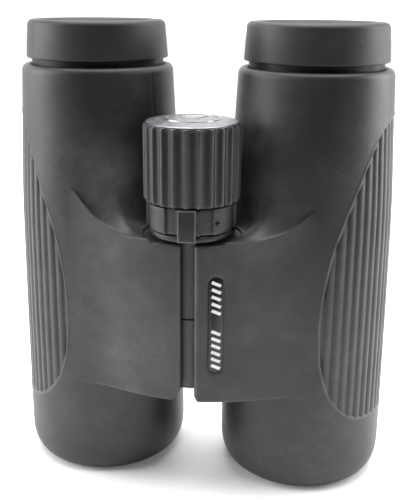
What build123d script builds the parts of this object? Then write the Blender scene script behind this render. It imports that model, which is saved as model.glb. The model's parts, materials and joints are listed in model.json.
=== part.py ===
"""Roof-prism binoculars standing on their objective rims.

Millimetres, +Z up along both barrels, the focus knob towards -Y. The origin is the middle of the
footprint. The left barrel (-X) carries the hinge axle, the focus knob and the diopter ring; the
right barrel folds about the hinge. Inside each barrel light climbs through the objective doublet,
the moving focusing lens, the prism pair and the eyepiece.
"""
import os
from math import atan2, cos, degrees, hypot, radians, sin

from build123d import *

# ---------------------------------------------------------------- driving dimensions
HEIGHT = 145.0              # objective rim to the top of the lowered eyecups
EYE_SPACING = 68.0          # distance between the barrel axes as modelled
HINGE_FORWARD = 23.7        # hinge axis in front of the plane of the barrel axes
BARREL_R = 26.85            # armour radius at the objective end
TAB_R = 14.6                # front of the index tab, measured from the hinge axis
KNOB_R = 14.28
APERTURE_R = 21.0           # 42 mm clear objective

HALF_SPACING = EYE_SPACING / 2
BARREL_Y = (HINGE_FORWARD + TAB_R - BARREL_R) / 2
HINGE_Y = BARREL_Y - HINGE_FORWARD
ARM = hypot(HALF_SPACING, HINGE_FORWARD)

# fits
RUNNING = 0.05              # radial clearance of a turning or sliding fit
GAP = 0.3                   # space kept between pieces that only pass each other

# armour, as (radius, height) down the outside of one barrel
RIM_FLAT_R = 24.3
RIM_ROUND = 6.5
STRAIGHT_TOP = 24.0
TAPER = [(26.35, 62.0), (25.55, 95.0), (24.65, 110.5), (23.55, 129.6)]
SHOULDER_R = 21.9
ARMOUR_TOP = 131.8
SKIN = 1.85                 # armour thickness over the barrel tube
HOOD_R = 23.2

# bridge plates, on their own side of the centre plane
PLATE_BOTTOM = 34.0
PLATE_TOP = 85.0
POCKET_R = 14.6             # round pocket in the plates' top, under the collar
POCKET_FLOOR = 83.9
PLATE_FRONT = [(27.0, 28.6), (20.0, 31.0), (12.5, 33.3), (6.0, 34.5)]
PLATE_TIP = 34.9            # how far the plates stand in front of the barrel axes
PLATE_EDGE = {-1: 1.6, 1: 2.4}
PLATE_CORNER = {-1: 2.6, 1: 1.0}
SCOOP_R = 27.0
SCOOP_FLAT = 12.5
REAR_WEDGE = 14.0           # degrees each side of centre left open behind the hinge

# barrel tube
TUBE_BOTTOM = 2.5
TUBE_TOP = 131.3
CELL_BORE = 23.4
CELL_BORE_TOP = 24.0
FOCUS_BORE = 22.2
FOCUS_BORE_TOP = 73.0
PRISM_BORE = 21.4
PRISM_BORE_TOP = 113.5
EYE_BORE = 20.45

# hinge
KNUCKLE_R = 8.4
HINGE_HOLLOW_R = KNUCKLE_R + GAP
HINGE_BOTTOM = 37.0
CAP_TOP = 37.9
SEAM_LOW = 59.7
SEAM_HIGH = 60.3
KNUCKLE_TOP = 84.4
AXLE_R = 6.0
AXLE_BORE = 5.0
AXLE_BOTTOM = 38.6
AXLE_FLANGE_R = 7.4
AXLE_FLANGE_TOP = 40.2
AXLE_TOP = 78.0
WEB_WIDTH = 10.0
WEB_TOP = 82.05
CHANNEL_WIDTH = 4.6
OPEN_LIMIT = 16.4           # degrees the right barrel swings outwards
CLOSE_LIMIT = 25.0          # and inwards

# focusing parts
ARM_WIDTH = 4.0
ARM_THICK = 3.0
ARM_LOW = {-1: 65.2, 1: 51.8}
FOCUS_TRAVEL = 3.0
DIOPTER_TRAVEL = 0.7
FOCUS_CELL_LOW = 49.5
FOCUS_CELL_TOP = 68.5
SPOOL_R = 4.9
GROOVE_R = 3.4
SCREW_R = 2.1
BEARING_R = 4.0
SHANK_R = 3.0
POST_R = 9.0
POST_TOP_R = 8.0
POST_TOP = 110.0
SCREW_SHOULDER = 78.2
CORE_FLOOR = 110.5          # underside of the knob's web, over the post
CORE_TOP = 114.5
SCREW_HOLE_R = 1.5
COLLAR_TOP = 87.1
DIOPTER_LOW = 87.4
DIOPTER_TOP = 95.0
DIOPTER_R = 13.6
KNOB_LOW = 95.4
KNOB_TOP = 117.6
KNOB_CORE_R = 12.3
CAP_R = 13.4
CAP_LOW = 116.2
TAB_AZIMUTH = 2.9           # degrees from straight ahead towards the right barrel
FLUTE_COUNT = 24
FLUTE_R = 1.62
FLUTE_AZIMUTH = 9.4
DIOPTER_FLUTES = 8
DIOPTER_AZIMUTH = -17.6

# eyecups
SLEEVE_IN = 18.95
SLEEVE_OUT = 20.4
GUIDE_LOW = 122.5
GUIDE_TOP = 125.0
CUP_LOW = 133.7
CUP_R_LOW = 21.95
CUP_R_TOP = 21.2
CUP_OPENING = 16.0
TUBE_IN = 16.9

SIDES = ((-1, "left"), (1, "right"))
HINGE_AXIS = Axis((0, HINGE_Y, 0), (0, 0, 1))
HINGE_PLANE = Plane(origin=(0, HINGE_Y, 0), x_dir=(1, 0, 0), z_dir=(0, -1, 0))


# ---------------------------------------------------------------- helpers
def barrel_plane(side):
    """Upright plane through one barrel axis: x is the radius and y is the height."""
    return Plane(origin=(side * HALF_SPACING, BARREL_Y, 0), x_dir=(1, 0, 0), z_dir=(0, -1, 0))


def barrel_axis(side):
    return Axis((side * HALF_SPACING, BARREL_Y, 0), (0, 0, 1))


def turn(outline, plane, axis, mode=Mode.ADD):
    """Revolve a closed list of (radius, height) corners into the part being built."""
    with BuildPart() as turned:
        with BuildSketch(plane):
            with BuildLine():
                Polyline(*outline, close=True)
            make_face()
        revolve(axis=axis)
    add(turned.part, mode=mode)


def ring(plane, axis, r_in, r_out, low, high, mode=Mode.ADD):
    turn([(r_in, low), (r_out, low), (r_out, high), (r_in, high)], plane, axis, mode)


def disc(centre, radius, low, high, mode=Mode.ADD):
    """Upright cylinder between two heights."""
    with BuildPart() as cylinder:
        with BuildSketch(Plane.XY.offset(low)):
            with Locations(centre):
                Circle(radius)
        extrude(amount=high - low)
    add(cylinder.part, mode=mode)


def strip(side, width, low, high, mode=Mode.ADD):
    """Bar from the hinge axis to one barrel axis."""
    with BuildPart() as bar:
        with BuildSketch(Plane.XY.offset(low)):
            with Locations((side * HALF_SPACING / 2, (BARREL_Y + HINGE_Y) / 2)):
                Rectangle(ARM, width, rotation=degrees(atan2(HINGE_FORWARD, side * HALF_SPACING)))
        extrude(amount=high - low)
    add(bar.part, mode=mode)


def around_hinge(azimuth, radius):
    """Point at a radius from the hinge axis; azimuth 0 is straight ahead, plus is to the right."""
    return (radius * sin(radians(azimuth)), HINGE_Y - radius * cos(radians(azimuth)))


def save(part, name):
    part.label = name
    export_step(part, f"parts/{name}.step")


# ---------------------------------------------------------------- barrel shells
def tube_outside(side, mode=Mode.ADD):
    """Solid of revolution of the barrel tube, one skin inside the armour."""
    wall = BARREL_R - SKIN
    curve = [(wall, STRAIGHT_TOP)] + [(r - SKIN, z) for r, z in TAPER]
    with BuildPart() as outside:
        with BuildSketch(barrel_plane(side)):
            with BuildLine():
                Polyline((0, TUBE_BOTTOM), (wall, TUBE_BOTTOM), (wall, STRAIGHT_TOP))
                Spline(*curve, tangents=((0, 1), (-0.06, 1)))
                Polyline(curve[-1], (curve[-1][0], TUBE_TOP), (0, TUBE_TOP), (0, TUBE_BOTTOM))
            make_face()
        revolve(axis=barrel_axis(side))
    add(outside.part, mode=mode)


def barrel_tube(side):
    """Light-alloy barrel with its bridge web and hinge knuckle."""
    low, high = (SEAM_HIGH, KNUCKLE_TOP) if side < 0 else (CAP_TOP, SEAM_LOW)
    plane, axis = barrel_plane(side), barrel_axis(side)
    with BuildPart() as tube:
        tube_outside(side)
        strip(side, WEB_WIDTH, low, min(high, WEB_TOP))
        disc((0, HINGE_Y), KNUCKLE_R, low, high)
        ring(plane, axis, 0, CELL_BORE, TUBE_BOTTOM, CELL_BORE_TOP, Mode.SUBTRACT)
        ring(plane, axis, 0, FOCUS_BORE, CELL_BORE_TOP, FOCUS_BORE_TOP, Mode.SUBTRACT)
        ring(plane, axis, 0, PRISM_BORE, FOCUS_BORE_TOP, PRISM_BORE_TOP, Mode.SUBTRACT)
        ring(plane, axis, 0, EYE_BORE, PRISM_BORE_TOP, TUBE_TOP, Mode.SUBTRACT)
        if side < 0:
            disc((0, HINGE_Y), AXLE_R, low, AXLE_TOP, Mode.SUBTRACT)
            disc((0, HINGE_Y), BEARING_R + RUNNING, AXLE_TOP, high, Mode.SUBTRACT)
        else:
            disc((0, HINGE_Y), AXLE_R + RUNNING, low, high, Mode.SUBTRACT)
            disc((0, HINGE_Y), AXLE_FLANGE_R + 0.1, low, AXLE_FLANGE_TOP + 0.1, Mode.SUBTRACT)
        slot_low = ARM_LOW[side] - FOCUS_TRAVEL - GAP
        slot_high = ARM_LOW[side] + ARM_THICK + FOCUS_TRAVEL + GAP
        strip(side, CHANNEL_WIDTH, slot_low, slot_high, Mode.SUBTRACT)
    return tube.part


def plate_outline(side):
    """Plan of one bridge plate, from the barrel's front round to the gap behind the hinge."""
    edge = PLATE_EDGE[side]
    wedge = (12 * sin(radians(REAR_WEDGE)), HINGE_Y + 12 * cos(radians(REAR_WEDGE)))
    start = (HALF_SPACING + 2.8, BARREL_Y - 26.3)
    front = [start] + [(u, BARREL_Y - y) for u, y in PLATE_FRONT] + [(edge, BARREL_Y - PLATE_TIP)]
    rear = [(edge, HINGE_Y), wedge, (8.3, BARREL_Y - 6.9), (HALF_SPACING, BARREL_Y), start]
    return [(side * u, y) for u, y in front], [(side * u, y) for u, y in rear]


def armour(side):
    """Rubber armour: barrel cover, objective hood lip and the front plate over the hinge."""
    plane, axis = barrel_plane(side), barrel_axis(side)
    edge = PLATE_EDGE[side]
    front, rear = plate_outline(side)
    with BuildPart() as cover:
        with BuildSketch(Plane.XY.offset(PLATE_BOTTOM)) as plan:
            with BuildLine():
                Spline(*front)
                Polyline(front[-1], *rear)
            make_face()
            tip = plan.vertices().sort_by_distance((side * edge, BARREL_Y - PLATE_TIP))[0]
            fillet(tip, radius=0.9)
        extrude(amount=PLATE_TOP + 16 - PLATE_BOTTOM)
        # the scoop beside the knob: level over the hinge, then a round sweep up the barrel
        with BuildSketch(Plane.XZ.offset(60)):
            with Locations((side * SCOOP_FLAT, PLATE_TOP + SCOOP_R)):
                Circle(SCOOP_R)
            with Locations((0, PLATE_TOP + SCOOP_R)):
                Rectangle(2 * SCOOP_FLAT, 2 * SCOOP_R)
        extrude(amount=-120, mode=Mode.SUBTRACT)
        disc((0, HINGE_Y), POCKET_R, POCKET_FLOOR, HEIGHT, Mode.SUBTRACT)
        # lower inside corner
        corner = PLATE_CORNER[side]
        with BuildSketch(Plane.XZ.offset(60)):
            with BuildLine():
                Polyline(
                    (side * (edge - 2), PLATE_BOTTOM),
                    (side * (edge + corner), PLATE_BOTTOM),
                    (side * edge, PLATE_BOTTOM + 1.3 * corner),
                    (side * (edge - 2), PLATE_BOTTOM + 1.3 * corner),
                    close=True,
                )
            make_face()
        extrude(amount=-60, mode=Mode.SUBTRACT)
        with BuildSketch(plane):
            with BuildLine():
                curve = [(BARREL_R, STRAIGHT_TOP)] + TAPER
                Polyline((0, 0), (RIM_FLAT_R, 0))
                Spline((RIM_FLAT_R, 0), (BARREL_R, RIM_ROUND), tangents=((1, 0), (0, 1)))
                Line((BARREL_R, RIM_ROUND), (BARREL_R, STRAIGHT_TOP))
                Spline(*curve, tangents=((0, 1), (-0.06, 1)))
                Spline(curve[-1], (SHOULDER_R, ARMOUR_TOP), tangents=((-0.06, 1), (-1, 0)))
                Polyline((SHOULDER_R, ARMOUR_TOP), (0, ARMOUR_TOP), (0, 0))
            make_face()
        revolve(axis=axis)
        tube_outside(side, Mode.SUBTRACT)
        ring(plane, axis, 0, HOOD_R, 0, TUBE_BOTTOM, Mode.SUBTRACT)
        ring(plane, axis, 0, SLEEVE_OUT + GAP, TUBE_TOP, ARMOUR_TOP, Mode.SUBTRACT)
        low, high = (SEAM_HIGH, KNUCKLE_TOP) if side < 0 else (CAP_TOP, SEAM_LOW)
        strip(side, WEB_WIDTH, low, min(high, WEB_TOP), Mode.SUBTRACT)
        disc((0, HINGE_Y), HINGE_HOLLOW_R, 0, HEIGHT, Mode.SUBTRACT)
        if side > 0:
            label_pocket(Mode.SUBTRACT)
    return cover.part


# ---------------------------------------------------------------- label inlay
LABEL_X = 8.8
LABEL_WIDTH = 4.6
LABEL_LOW = 44.2
LABEL_HIGH = 74.4
LABEL_DEPTH = 0.5
LABEL_TILT = 13.0           # degrees the plate turns back towards the barrel


def label_pocket(mode=Mode.ADD):
    """Pill-shaped inlay let into the front of the right plate."""
    face = Plane(
        origin=(LABEL_X, BARREL_Y - PLATE_TIP + 1.45, (LABEL_LOW + LABEL_HIGH) / 2),
        x_dir=(cos(radians(LABEL_TILT)), sin(radians(LABEL_TILT)), 0),
        z_dir=(sin(radians(LABEL_TILT)), -cos(radians(LABEL_TILT)), 0),
    )
    with BuildPart() as pill:
        with BuildSketch(face):
            SlotOverall(LABEL_HIGH - LABEL_LOW, LABEL_WIDTH, rotation=90)
        extrude(amount=LABEL_DEPTH if mode == Mode.ADD else 3)
    add(pill.part, mode=mode)


# ---------------------------------------------------------------- objective
def lens(side, radius, low_edge, low_rise, high_edge, high_rise):
    """Round lens; each rise is how far a face's centre stands above its edge."""
    with BuildPart() as glass:
        with BuildSketch(barrel_plane(side)):
            with BuildLine():
                face_arc(radius, low_edge, low_rise)
                Line((radius, low_edge), (radius, high_edge))
                face_arc(radius, high_edge, high_rise)
                Line((0, high_edge + high_rise), (0, low_edge + low_rise))
            make_face()
        revolve(axis=barrel_axis(side))
    return glass.part


def face_arc(radius, edge, rise):
    """Half of a spherical lens face, from the axis out to its edge."""
    if rise == 0:
        Line((0, edge), (radius, edge))
        return
    sphere = (radius**2 + rise**2) / (2 * rise)
    half = radius / 2
    middle = edge + rise - sphere + (1 if sphere > 0 else -1) * (sphere**2 - half**2) ** 0.5
    ThreePointArc((0, edge + rise), (half, middle), (radius, edge))


LENS_R = 21.7
CROWN_EDGE = 11.2
CEMENT_EDGE = 13.2
CEMENT_RISE = 2.7
FLINT_TOP = 18.6
OBJECTIVE_CELL_LOW = 7.0
OBJECTIVE_CELL_TOP = 22.0


def objective_cell(side):
    with BuildPart() as cell:
        turn(
            [
                (LENS_R, OBJECTIVE_CELL_LOW),
                (CELL_BORE, OBJECTIVE_CELL_LOW),
                (CELL_BORE, 19.0),
                (CELL_BORE - 0.9, 19.0),
                (CELL_BORE - 0.9, 20.2),
                (CELL_BORE, 20.2),
                (CELL_BORE, OBJECTIVE_CELL_TOP),
                (LENS_R - 0.8, OBJECTIVE_CELL_TOP),
                (LENS_R - 0.8, FLINT_TOP),
                (LENS_R, FLINT_TOP),
            ],
            barrel_plane(side),
            barrel_axis(side),
        )
    return cell.part


def objective_seal(side):
    """O-ring round the objective cell."""
    with BuildPart() as seal:
        with BuildSketch(barrel_plane(side)):
            with Locations((CELL_BORE - 0.45, 19.6)):
                Circle(0.44)
        revolve(axis=barrel_axis(side))
    return seal.part


def objective_retainer(side):
    """Threaded ring in front of the doublet, with two spanner notches."""
    with BuildPart() as retainer:
        ring(barrel_plane(side), barrel_axis(side), APERTURE_R, LENS_R, 8.2, 10.9)
        with BuildSketch(Plane.XY.offset(8.2)):
            with Locations((side * HALF_SPACING, BARREL_Y)):
                Rectangle(60, 1.4)
        extrude(amount=0.8, mode=Mode.SUBTRACT)
    return retainer.part


# ---------------------------------------------------------------- focusing group
def focus_cell(side):
    """Sliding carrier of the focusing lens."""
    plane, axis = barrel_plane(side), barrel_axis(side)
    with BuildPart() as cell:
        ring(plane, axis, 20.0, FOCUS_BORE - 0.1, FOCUS_CELL_LOW, FOCUS_CELL_TOP)
        ring(plane, axis, 18.4, 20.0, 55.5, 57.5)
        if side > 0:
            low = ARM_LOW[side] - DIOPTER_TRAVEL - 0.2
            high = ARM_LOW[side] + ARM_THICK + DIOPTER_TRAVEL + 0.2
            strip(side, ARM_WIDTH + 0.5, low, high, Mode.SUBTRACT)
    return cell.part


def focus_arm(side):
    """Flat arm whose tip runs in a groove of the focusing spool."""
    end = FOCUS_BORE - 0.1 if side < 0 else 20.3
    low = ARM_LOW[side]
    with BuildPart() as arm:
        strip(side, ARM_WIDTH, low, low + ARM_THICK)
        disc((0, HINGE_Y), GROOVE_R + 0.1, low, low + ARM_THICK, Mode.SUBTRACT)
        centre = (side * HALF_SPACING, BARREL_Y)
        disc(centre, end, low, low + ARM_THICK, Mode.SUBTRACT)
    return arm.part


# ---------------------------------------------------------------- prisms
PRISM_LOW = 76.0
PRISM_HIGH = 110.0
PRISM_HALF = 13.0
PRISM_DEPTH = 12.0
CAGE_LOW = 74.0


def prism(side, outline):
    with BuildPart() as block:
        with BuildSketch(barrel_plane(side).offset(-PRISM_DEPTH)):
            with BuildLine():
                Polyline(*outline, close=True)
            make_face()
        extrude(amount=2 * PRISM_DEPTH)
    return block.part


def half_pentaprism(side):
    return prism(
        side,
        [(-PRISM_HALF, PRISM_LOW), (PRISM_HALF, PRISM_LOW), (PRISM_HALF, 92.0), (-PRISM_HALF, 81.2)],
    )


def roof_prism(side):
    return prism(
        side,
        [
            (-PRISM_HALF, 81.8),
            (PRISM_HALF, 92.6),
            (PRISM_HALF, 103.0),
            (6.0, PRISM_HIGH),
            (-6.0, PRISM_HIGH),
            (-PRISM_HALF, 103.0),
        ],
    )


def prism_cage(side):
    """Round carrier with a pocket for the prism pair, open towards the back."""
    centre = (side * HALF_SPACING, BARREL_Y)
    with BuildPart() as cage:
        disc(centre, PRISM_BORE, CAGE_LOW, PRISM_BORE_TOP)
        disc(centre, 11.5, CAGE_LOW, PRISM_BORE_TOP, Mode.SUBTRACT)
        with BuildSketch(Plane.XY.offset(PRISM_LOW)):
            with Locations((centre[0], BARREL_Y - PRISM_DEPTH)):
                Rectangle(2 * PRISM_HALF, 60, align=(Align.CENTER, Align.MIN))
        extrude(amount=PRISM_HIGH - PRISM_LOW, mode=Mode.SUBTRACT)
    return cage.part


def prism_clip(side):
    """Sprung strap across the open side of the cage."""
    with BuildPart() as clip:
        with BuildSketch(Plane.XY.offset(88)):
            with Locations((side * HALF_SPACING, BARREL_Y + PRISM_DEPTH)):
                Rectangle(2 * PRISM_HALF, 1.0, align=(Align.CENTER, Align.MIN))
        extrude(amount=10)
    return clip.part


# ---------------------------------------------------------------- eyepiece and eyecup
FIELD_LOW = 118.0
FIELD_TOP = 123.0
EYE_LENS_LOW = 133.0
EYE_LENS_TOP = 138.6
NECK_R = SLEEVE_IN - RUNNING


def eyepiece_tube(side):
    """Screwed-in eyepiece body: field stop, lens bore and the neck that the eyecup rides on."""
    with BuildPart() as body:
        turn(
            [
                (12.0, PRISM_BORE_TOP + 0.2),
                (EYE_BORE, PRISM_BORE_TOP + 0.2),
                (EYE_BORE, 121.0),
                (NECK_R, 121.0),
                (NECK_R, 141.2),
                (TUBE_IN, 141.2),
                (TUBE_IN, FIELD_LOW),
                (12.0, FIELD_LOW - 2.0),
            ],
            barrel_plane(side),
            barrel_axis(side),
        )
    return body.part


def eyepiece_spacer(side):
    with BuildPart() as spacer:
        ring(barrel_plane(side), barrel_axis(side), 14.8, TUBE_IN, FIELD_TOP, EYE_LENS_LOW)
    return spacer.part


def eyepiece_retainer(side):
    """Coned ring that holds the eye lens in place."""
    with BuildPart() as retainer:
        turn(
            [(12.6, EYE_LENS_TOP), (TUBE_IN, EYE_LENS_TOP), (TUBE_IN, 141.0), (15.4, 141.0), (12.6, 139.8)],
            barrel_plane(side),
            barrel_axis(side),
        )
    return retainer.part


def eyecup_guide(side):
    """Ring that climbs the neck without turning and lifts the eyecup."""
    with BuildPart() as guide:
        ring(barrel_plane(side), barrel_axis(side), SLEEVE_IN, SLEEVE_OUT, GUIDE_LOW, GUIDE_TOP)
    return guide.part


def eyecup_sleeve(side):
    with BuildPart() as sleeve:
        low = GUIDE_TOP + 0.08
        ring(barrel_plane(side), barrel_axis(side), SLEEVE_IN, SLEEVE_OUT, low, HEIGHT - 1.6)
    return sleeve.part


def eyecup_rubber(side):
    """Folded-over rubber rim on the sleeve."""
    with BuildPart() as rubber:
        with BuildSketch(barrel_plane(side)):
            with BuildLine():
                Polyline((SLEEVE_OUT, CUP_LOW), (CUP_R_LOW - 0.6, CUP_LOW))
                Line((CUP_R_LOW - 0.6, CUP_LOW), (CUP_R_LOW, CUP_LOW + 0.6))
                Line((CUP_R_LOW, CUP_LOW + 0.6), (CUP_R_TOP + 0.05, HEIGHT - 2.2))
                Spline(
                    (CUP_R_TOP + 0.05, HEIGHT - 2.2),
                    (CUP_R_TOP - 2.0, HEIGHT),
                    tangents=((-0.05, 1), (-1, 0)),
                )
                Line((CUP_R_TOP - 2.0, HEIGHT), (CUP_OPENING + 1.2, HEIGHT - 0.4))
                Polyline(
                    (CUP_OPENING + 1.2, HEIGHT - 0.4),
                    (CUP_OPENING, HEIGHT - 1.6),
                    (CUP_OPENING, HEIGHT - 3.2),
                    (SLEEVE_IN, HEIGHT - 3.2),
                    (SLEEVE_IN, HEIGHT - 1.6),
                    (SLEEVE_OUT, HEIGHT - 1.6),
                    (SLEEVE_OUT, CUP_LOW),
                )
            make_face()
        revolve(axis=barrel_axis(side))
    return rubber.part


# ---------------------------------------------------------------- hinge
def hinge_axle():
    """Hollow steel axle, fixed in the left knuckle, with windows for the two focusing arms."""
    with BuildPart() as axle:
        disc((0, HINGE_Y), AXLE_R, AXLE_BOTTOM, AXLE_TOP)
        disc((0, HINGE_Y), AXLE_FLANGE_R, AXLE_BOTTOM, AXLE_FLANGE_TOP)
        disc((0, HINGE_Y), AXLE_BORE, AXLE_BOTTOM, AXLE_TOP, Mode.SUBTRACT)
        arm_window(-1, 0)
        for swing in range(-20, 31, 5):
            arm_window(1, swing)
    return axle.part


def arm_window(side, swing):
    """Cut one window, turned towards the barrel and on by the swing of the hinge."""
    low = ARM_LOW[side] - FOCUS_TRAVEL - GAP
    high = ARM_LOW[side] + ARM_THICK + FOCUS_TRAVEL + GAP
    heading = degrees(atan2(HINGE_FORWARD, side * HALF_SPACING)) + swing
    with BuildPart() as window:
        with BuildSketch(Plane.XY.offset(low)):
            with Locations((0, HINGE_Y)):
                Rectangle(
                    AXLE_R + 1, CHANNEL_WIDTH, rotation=heading, align=(Align.MIN, Align.CENTER)
                )
        extrude(amount=high - low)
    add(window.part, mode=Mode.SUBTRACT)


def hinge_washer():
    """Friction washer in the seam between the two knuckles."""
    with BuildPart() as washer:
        ring(HINGE_PLANE, HINGE_AXIS, AXLE_R, KNUCKLE_R - 0.5, SEAM_LOW + 0.08, SEAM_HIGH)
    return washer.part


def hinge_end_cap():
    with BuildPart() as cap:
        disc((0, HINGE_Y), KNUCKLE_R, HINGE_BOTTOM, CAP_TOP)
        chamfer(cap.edges().group_by(Axis.Z)[0], length=0.5)
    return cap.part


def focus_spool():
    """Brass nut that climbs the focusing screw; one groove for each arm."""
    low, high = ARM_LOW[1] - 1.4, ARM_LOW[-1] + ARM_THICK + 1.3
    with BuildPart() as spool:
        disc((0, HINGE_Y), SPOOL_R, low, high)
        for side, slack in ((-1, 0.0), (1, 0.12)):
            ring(
                HINGE_PLANE, HINGE_AXIS, GROOVE_R, SPOOL_R + 1,
                ARM_LOW[side] - slack, ARM_LOW[side] + ARM_THICK + slack, Mode.SUBTRACT,
            )
        disc((0, HINGE_Y), SCREW_R + RUNNING, low, high, Mode.SUBTRACT)
    return spool.part


def focus_screw():
    """Focusing screw with its bearing collar and the shank that carries the knob."""
    with BuildPart() as screw:
        disc((0, HINGE_Y), SCREW_R, 44.0, 79.0)
        disc((0, HINGE_Y), BEARING_R, SCREW_SHOULDER, KNUCKLE_TOP - 0.1)
        disc((0, HINGE_Y), SHANK_R, KNUCKLE_TOP - 0.1, CORE_TOP)
        disc((0, HINGE_Y), SCREW_HOLE_R, 108.0, CORE_TOP, Mode.SUBTRACT)
    return screw.part


def hinge_post():
    """Fixed post on the left knuckle; the diopter ring and the knob turn on it."""
    with BuildPart() as post:
        disc((0, HINGE_Y), POST_R, KNUCKLE_TOP, DIOPTER_TOP + 0.1)
        disc((0, HINGE_Y), POST_TOP_R, DIOPTER_TOP + 0.1, POST_TOP)
        disc((0, HINGE_Y), SHANK_R + RUNNING, KNUCKLE_TOP, POST_TOP, Mode.SUBTRACT)
    return post.part


def hinge_collar():
    """Dished collar under the diopter ring."""
    with BuildPart() as collar:
        turn(
            [
                (POST_R, KNUCKLE_TOP + 0.1),
                (10.5, KNUCKLE_TOP + 0.1),
                (12.9, 85.4),
                (12.9, 86.6),
                (12.4, COLLAR_TOP),
                (POST_R, COLLAR_TOP),
            ],
            HINGE_PLANE,
            HINGE_AXIS,
        )
    return collar.part


def index_tab():
    """Bevelled block on the collar, standing in front of the diopter ring."""
    with BuildPart() as tab:
        ring(HINGE_PLANE, HINGE_AXIS, DIOPTER_R + GAP, TAB_R, 85.6, DIOPTER_TOP + 0.1)
        ring(HINGE_PLANE, HINGE_AXIS, 12.9, TAB_R, 85.6, 86.6)
        with BuildSketch(Plane.XY.offset(80)):
            with Locations((0, HINGE_Y)):
                Rectangle(
                    20, 5.3, rotation=TAB_AZIMUTH - 90, align=(Align.MIN, Align.CENTER)
                )
        extrude(amount=20, mode=Mode.INTERSECT)
        front = tab.faces().sort_by(Axis.Y)[0]
        chamfer(front.edges(), length=0.35)
    return tab.part


def diopter_ring():
    """Eight-fluted ring that sets the right eye."""
    with BuildPart() as dial:
        ring(HINGE_PLANE, HINGE_AXIS, POST_R + RUNNING, DIOPTER_R, DIOPTER_LOW, DIOPTER_TOP)
        chamfer(dial.edges().filter_by(GeomType.CIRCLE).sort_by(SortBy.RADIUS)[-2:], length=0.3)
        for index in range(DIOPTER_FLUTES):
            azimuth = DIOPTER_AZIMUTH + 360 / DIOPTER_FLUTES * index
            disc(around_hinge(azimuth, DIOPTER_R + 2.6), 3.3, DIOPTER_LOW, DIOPTER_TOP, Mode.SUBTRACT)
    return dial.part


def knob_core():
    with BuildPart() as core:
        disc((0, HINGE_Y), KNOB_CORE_R, KNOB_LOW + 0.2, CORE_TOP)
        disc((0, HINGE_Y), POST_TOP_R + RUNNING, KNOB_LOW + 0.2, CORE_FLOOR, Mode.SUBTRACT)
        disc((0, HINGE_Y), SHANK_R, CORE_FLOOR, CORE_TOP, Mode.SUBTRACT)
    return core.part


def knob_grip():
    """Fluted rubber tyre of the focus knob; the flutes scallop its top edge."""
    with BuildPart() as grip:
        disc((0, HINGE_Y), KNOB_R, KNOB_LOW, KNOB_TOP)
        disc((0, HINGE_Y), KNOB_CORE_R, KNOB_LOW, KNOB_TOP, Mode.SUBTRACT)
        chamfer(grip.edges().filter_by(GeomType.CIRCLE).sort_by(SortBy.RADIUS)[-2:], length=0.4)
        for index in range(FLUTE_COUNT):
            centre = around_hinge(FLUTE_AZIMUTH + 360 / FLUTE_COUNT * index, KNOB_R + 0.75)
            disc(centre, FLUTE_R, KNOB_LOW, KNOB_TOP - 1.0, Mode.SUBTRACT)
            with Locations((*centre, KNOB_TOP - 1.0)):
                Sphere(FLUTE_R, mode=Mode.SUBTRACT)
    return grip.part


def knob_cap():
    """Domed metal cap pressed into the top of the knob."""
    with BuildPart() as cap:
        with BuildSketch(HINGE_PLANE):
            with BuildLine():
                Polyline((0, CAP_LOW), (KNOB_CORE_R, CAP_LOW), (KNOB_CORE_R, KNOB_TOP))
                Polyline((KNOB_CORE_R, KNOB_TOP), (CAP_R, KNOB_TOP), (CAP_R, KNOB_TOP + 0.4))
                face_arc(CAP_R, KNOB_TOP + 0.4, 1.1)
                Line((0, KNOB_TOP + 1.5), (0, CAP_LOW))
            make_face()
        revolve(axis=HINGE_AXIS)
    return cap.part


def knob_screw():
    """Screw that holds the knob on the shank, hidden under the cap."""
    with BuildPart() as screw:
        disc((0, HINGE_Y), SCREW_HOLE_R, 108.2, CORE_TOP)
        disc((0, HINGE_Y), 4.5, CORE_TOP, CORE_TOP + 1.5)
        with BuildSketch(Plane.XY.offset(115.0)):
            with Locations((0, HINGE_Y)):
                RegularPolygon(1.5, 6)
        extrude(amount=1.0, mode=Mode.SUBTRACT)
    return screw.part


def thrust_washer():
    with BuildPart() as washer:
        ring(HINGE_PLANE, HINGE_AXIS, SHANK_R + 0.1, POST_TOP_R - 0.2, POST_TOP, CORE_FLOOR - 0.08)
    return washer.part


def rating_label():
    with BuildPart() as label:
        label_pocket()
    return label.part


# ---------------------------------------------------------------- write every piece
os.makedirs("parts", exist_ok=True)

for side, name in SIDES:
    save(barrel_tube(side), f"{name}_barrel_tube")
    save(armour(side), f"{name}_armour")
    save(objective_cell(side), f"{name}_objective_cell")
    save(lens(side, LENS_R, CROWN_EDGE, -2.6, CEMENT_EDGE, CEMENT_RISE), f"{name}_crown_lens")
    save(lens(side, LENS_R, CEMENT_EDGE, CEMENT_RISE, FLINT_TOP, 0), f"{name}_flint_lens")
    save(objective_retainer(side), f"{name}_objective_retainer")
    save(objective_seal(side), f"{name}_objective_seal")
    save(focus_cell(side), f"{name}_focus_cell")
    save(lens(side, 20.0, 57.5, 1.5, 62.5, -1.5), f"{name}_focus_lens")
    save(focus_arm(side), f"{name}_focus_arm")
    save(prism_cage(side), f"{name}_prism_cage")
    save(half_pentaprism(side), f"{name}_half_pentaprism")
    save(roof_prism(side), f"{name}_roof_prism")
    save(prism_clip(side), f"{name}_prism_clip")
    save(eyepiece_tube(side), f"{name}_eyepiece_tube")
    save(lens(side, TUBE_IN, FIELD_LOW, 0.8, FIELD_TOP, 0), f"{name}_field_lens")
    save(eyepiece_spacer(side), f"{name}_eyepiece_spacer")
    save(lens(side, TUBE_IN, EYE_LENS_LOW, 0, 136.4, 2.2), f"{name}_eye_lens")
    save(eyepiece_retainer(side), f"{name}_eyepiece_retainer")
    save(eyecup_guide(side), f"{name}_eyecup_guide")
    save(eyecup_sleeve(side), f"{name}_eyecup_sleeve")
    save(eyecup_rubber(side), f"{name}_eyecup_rubber")

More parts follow.
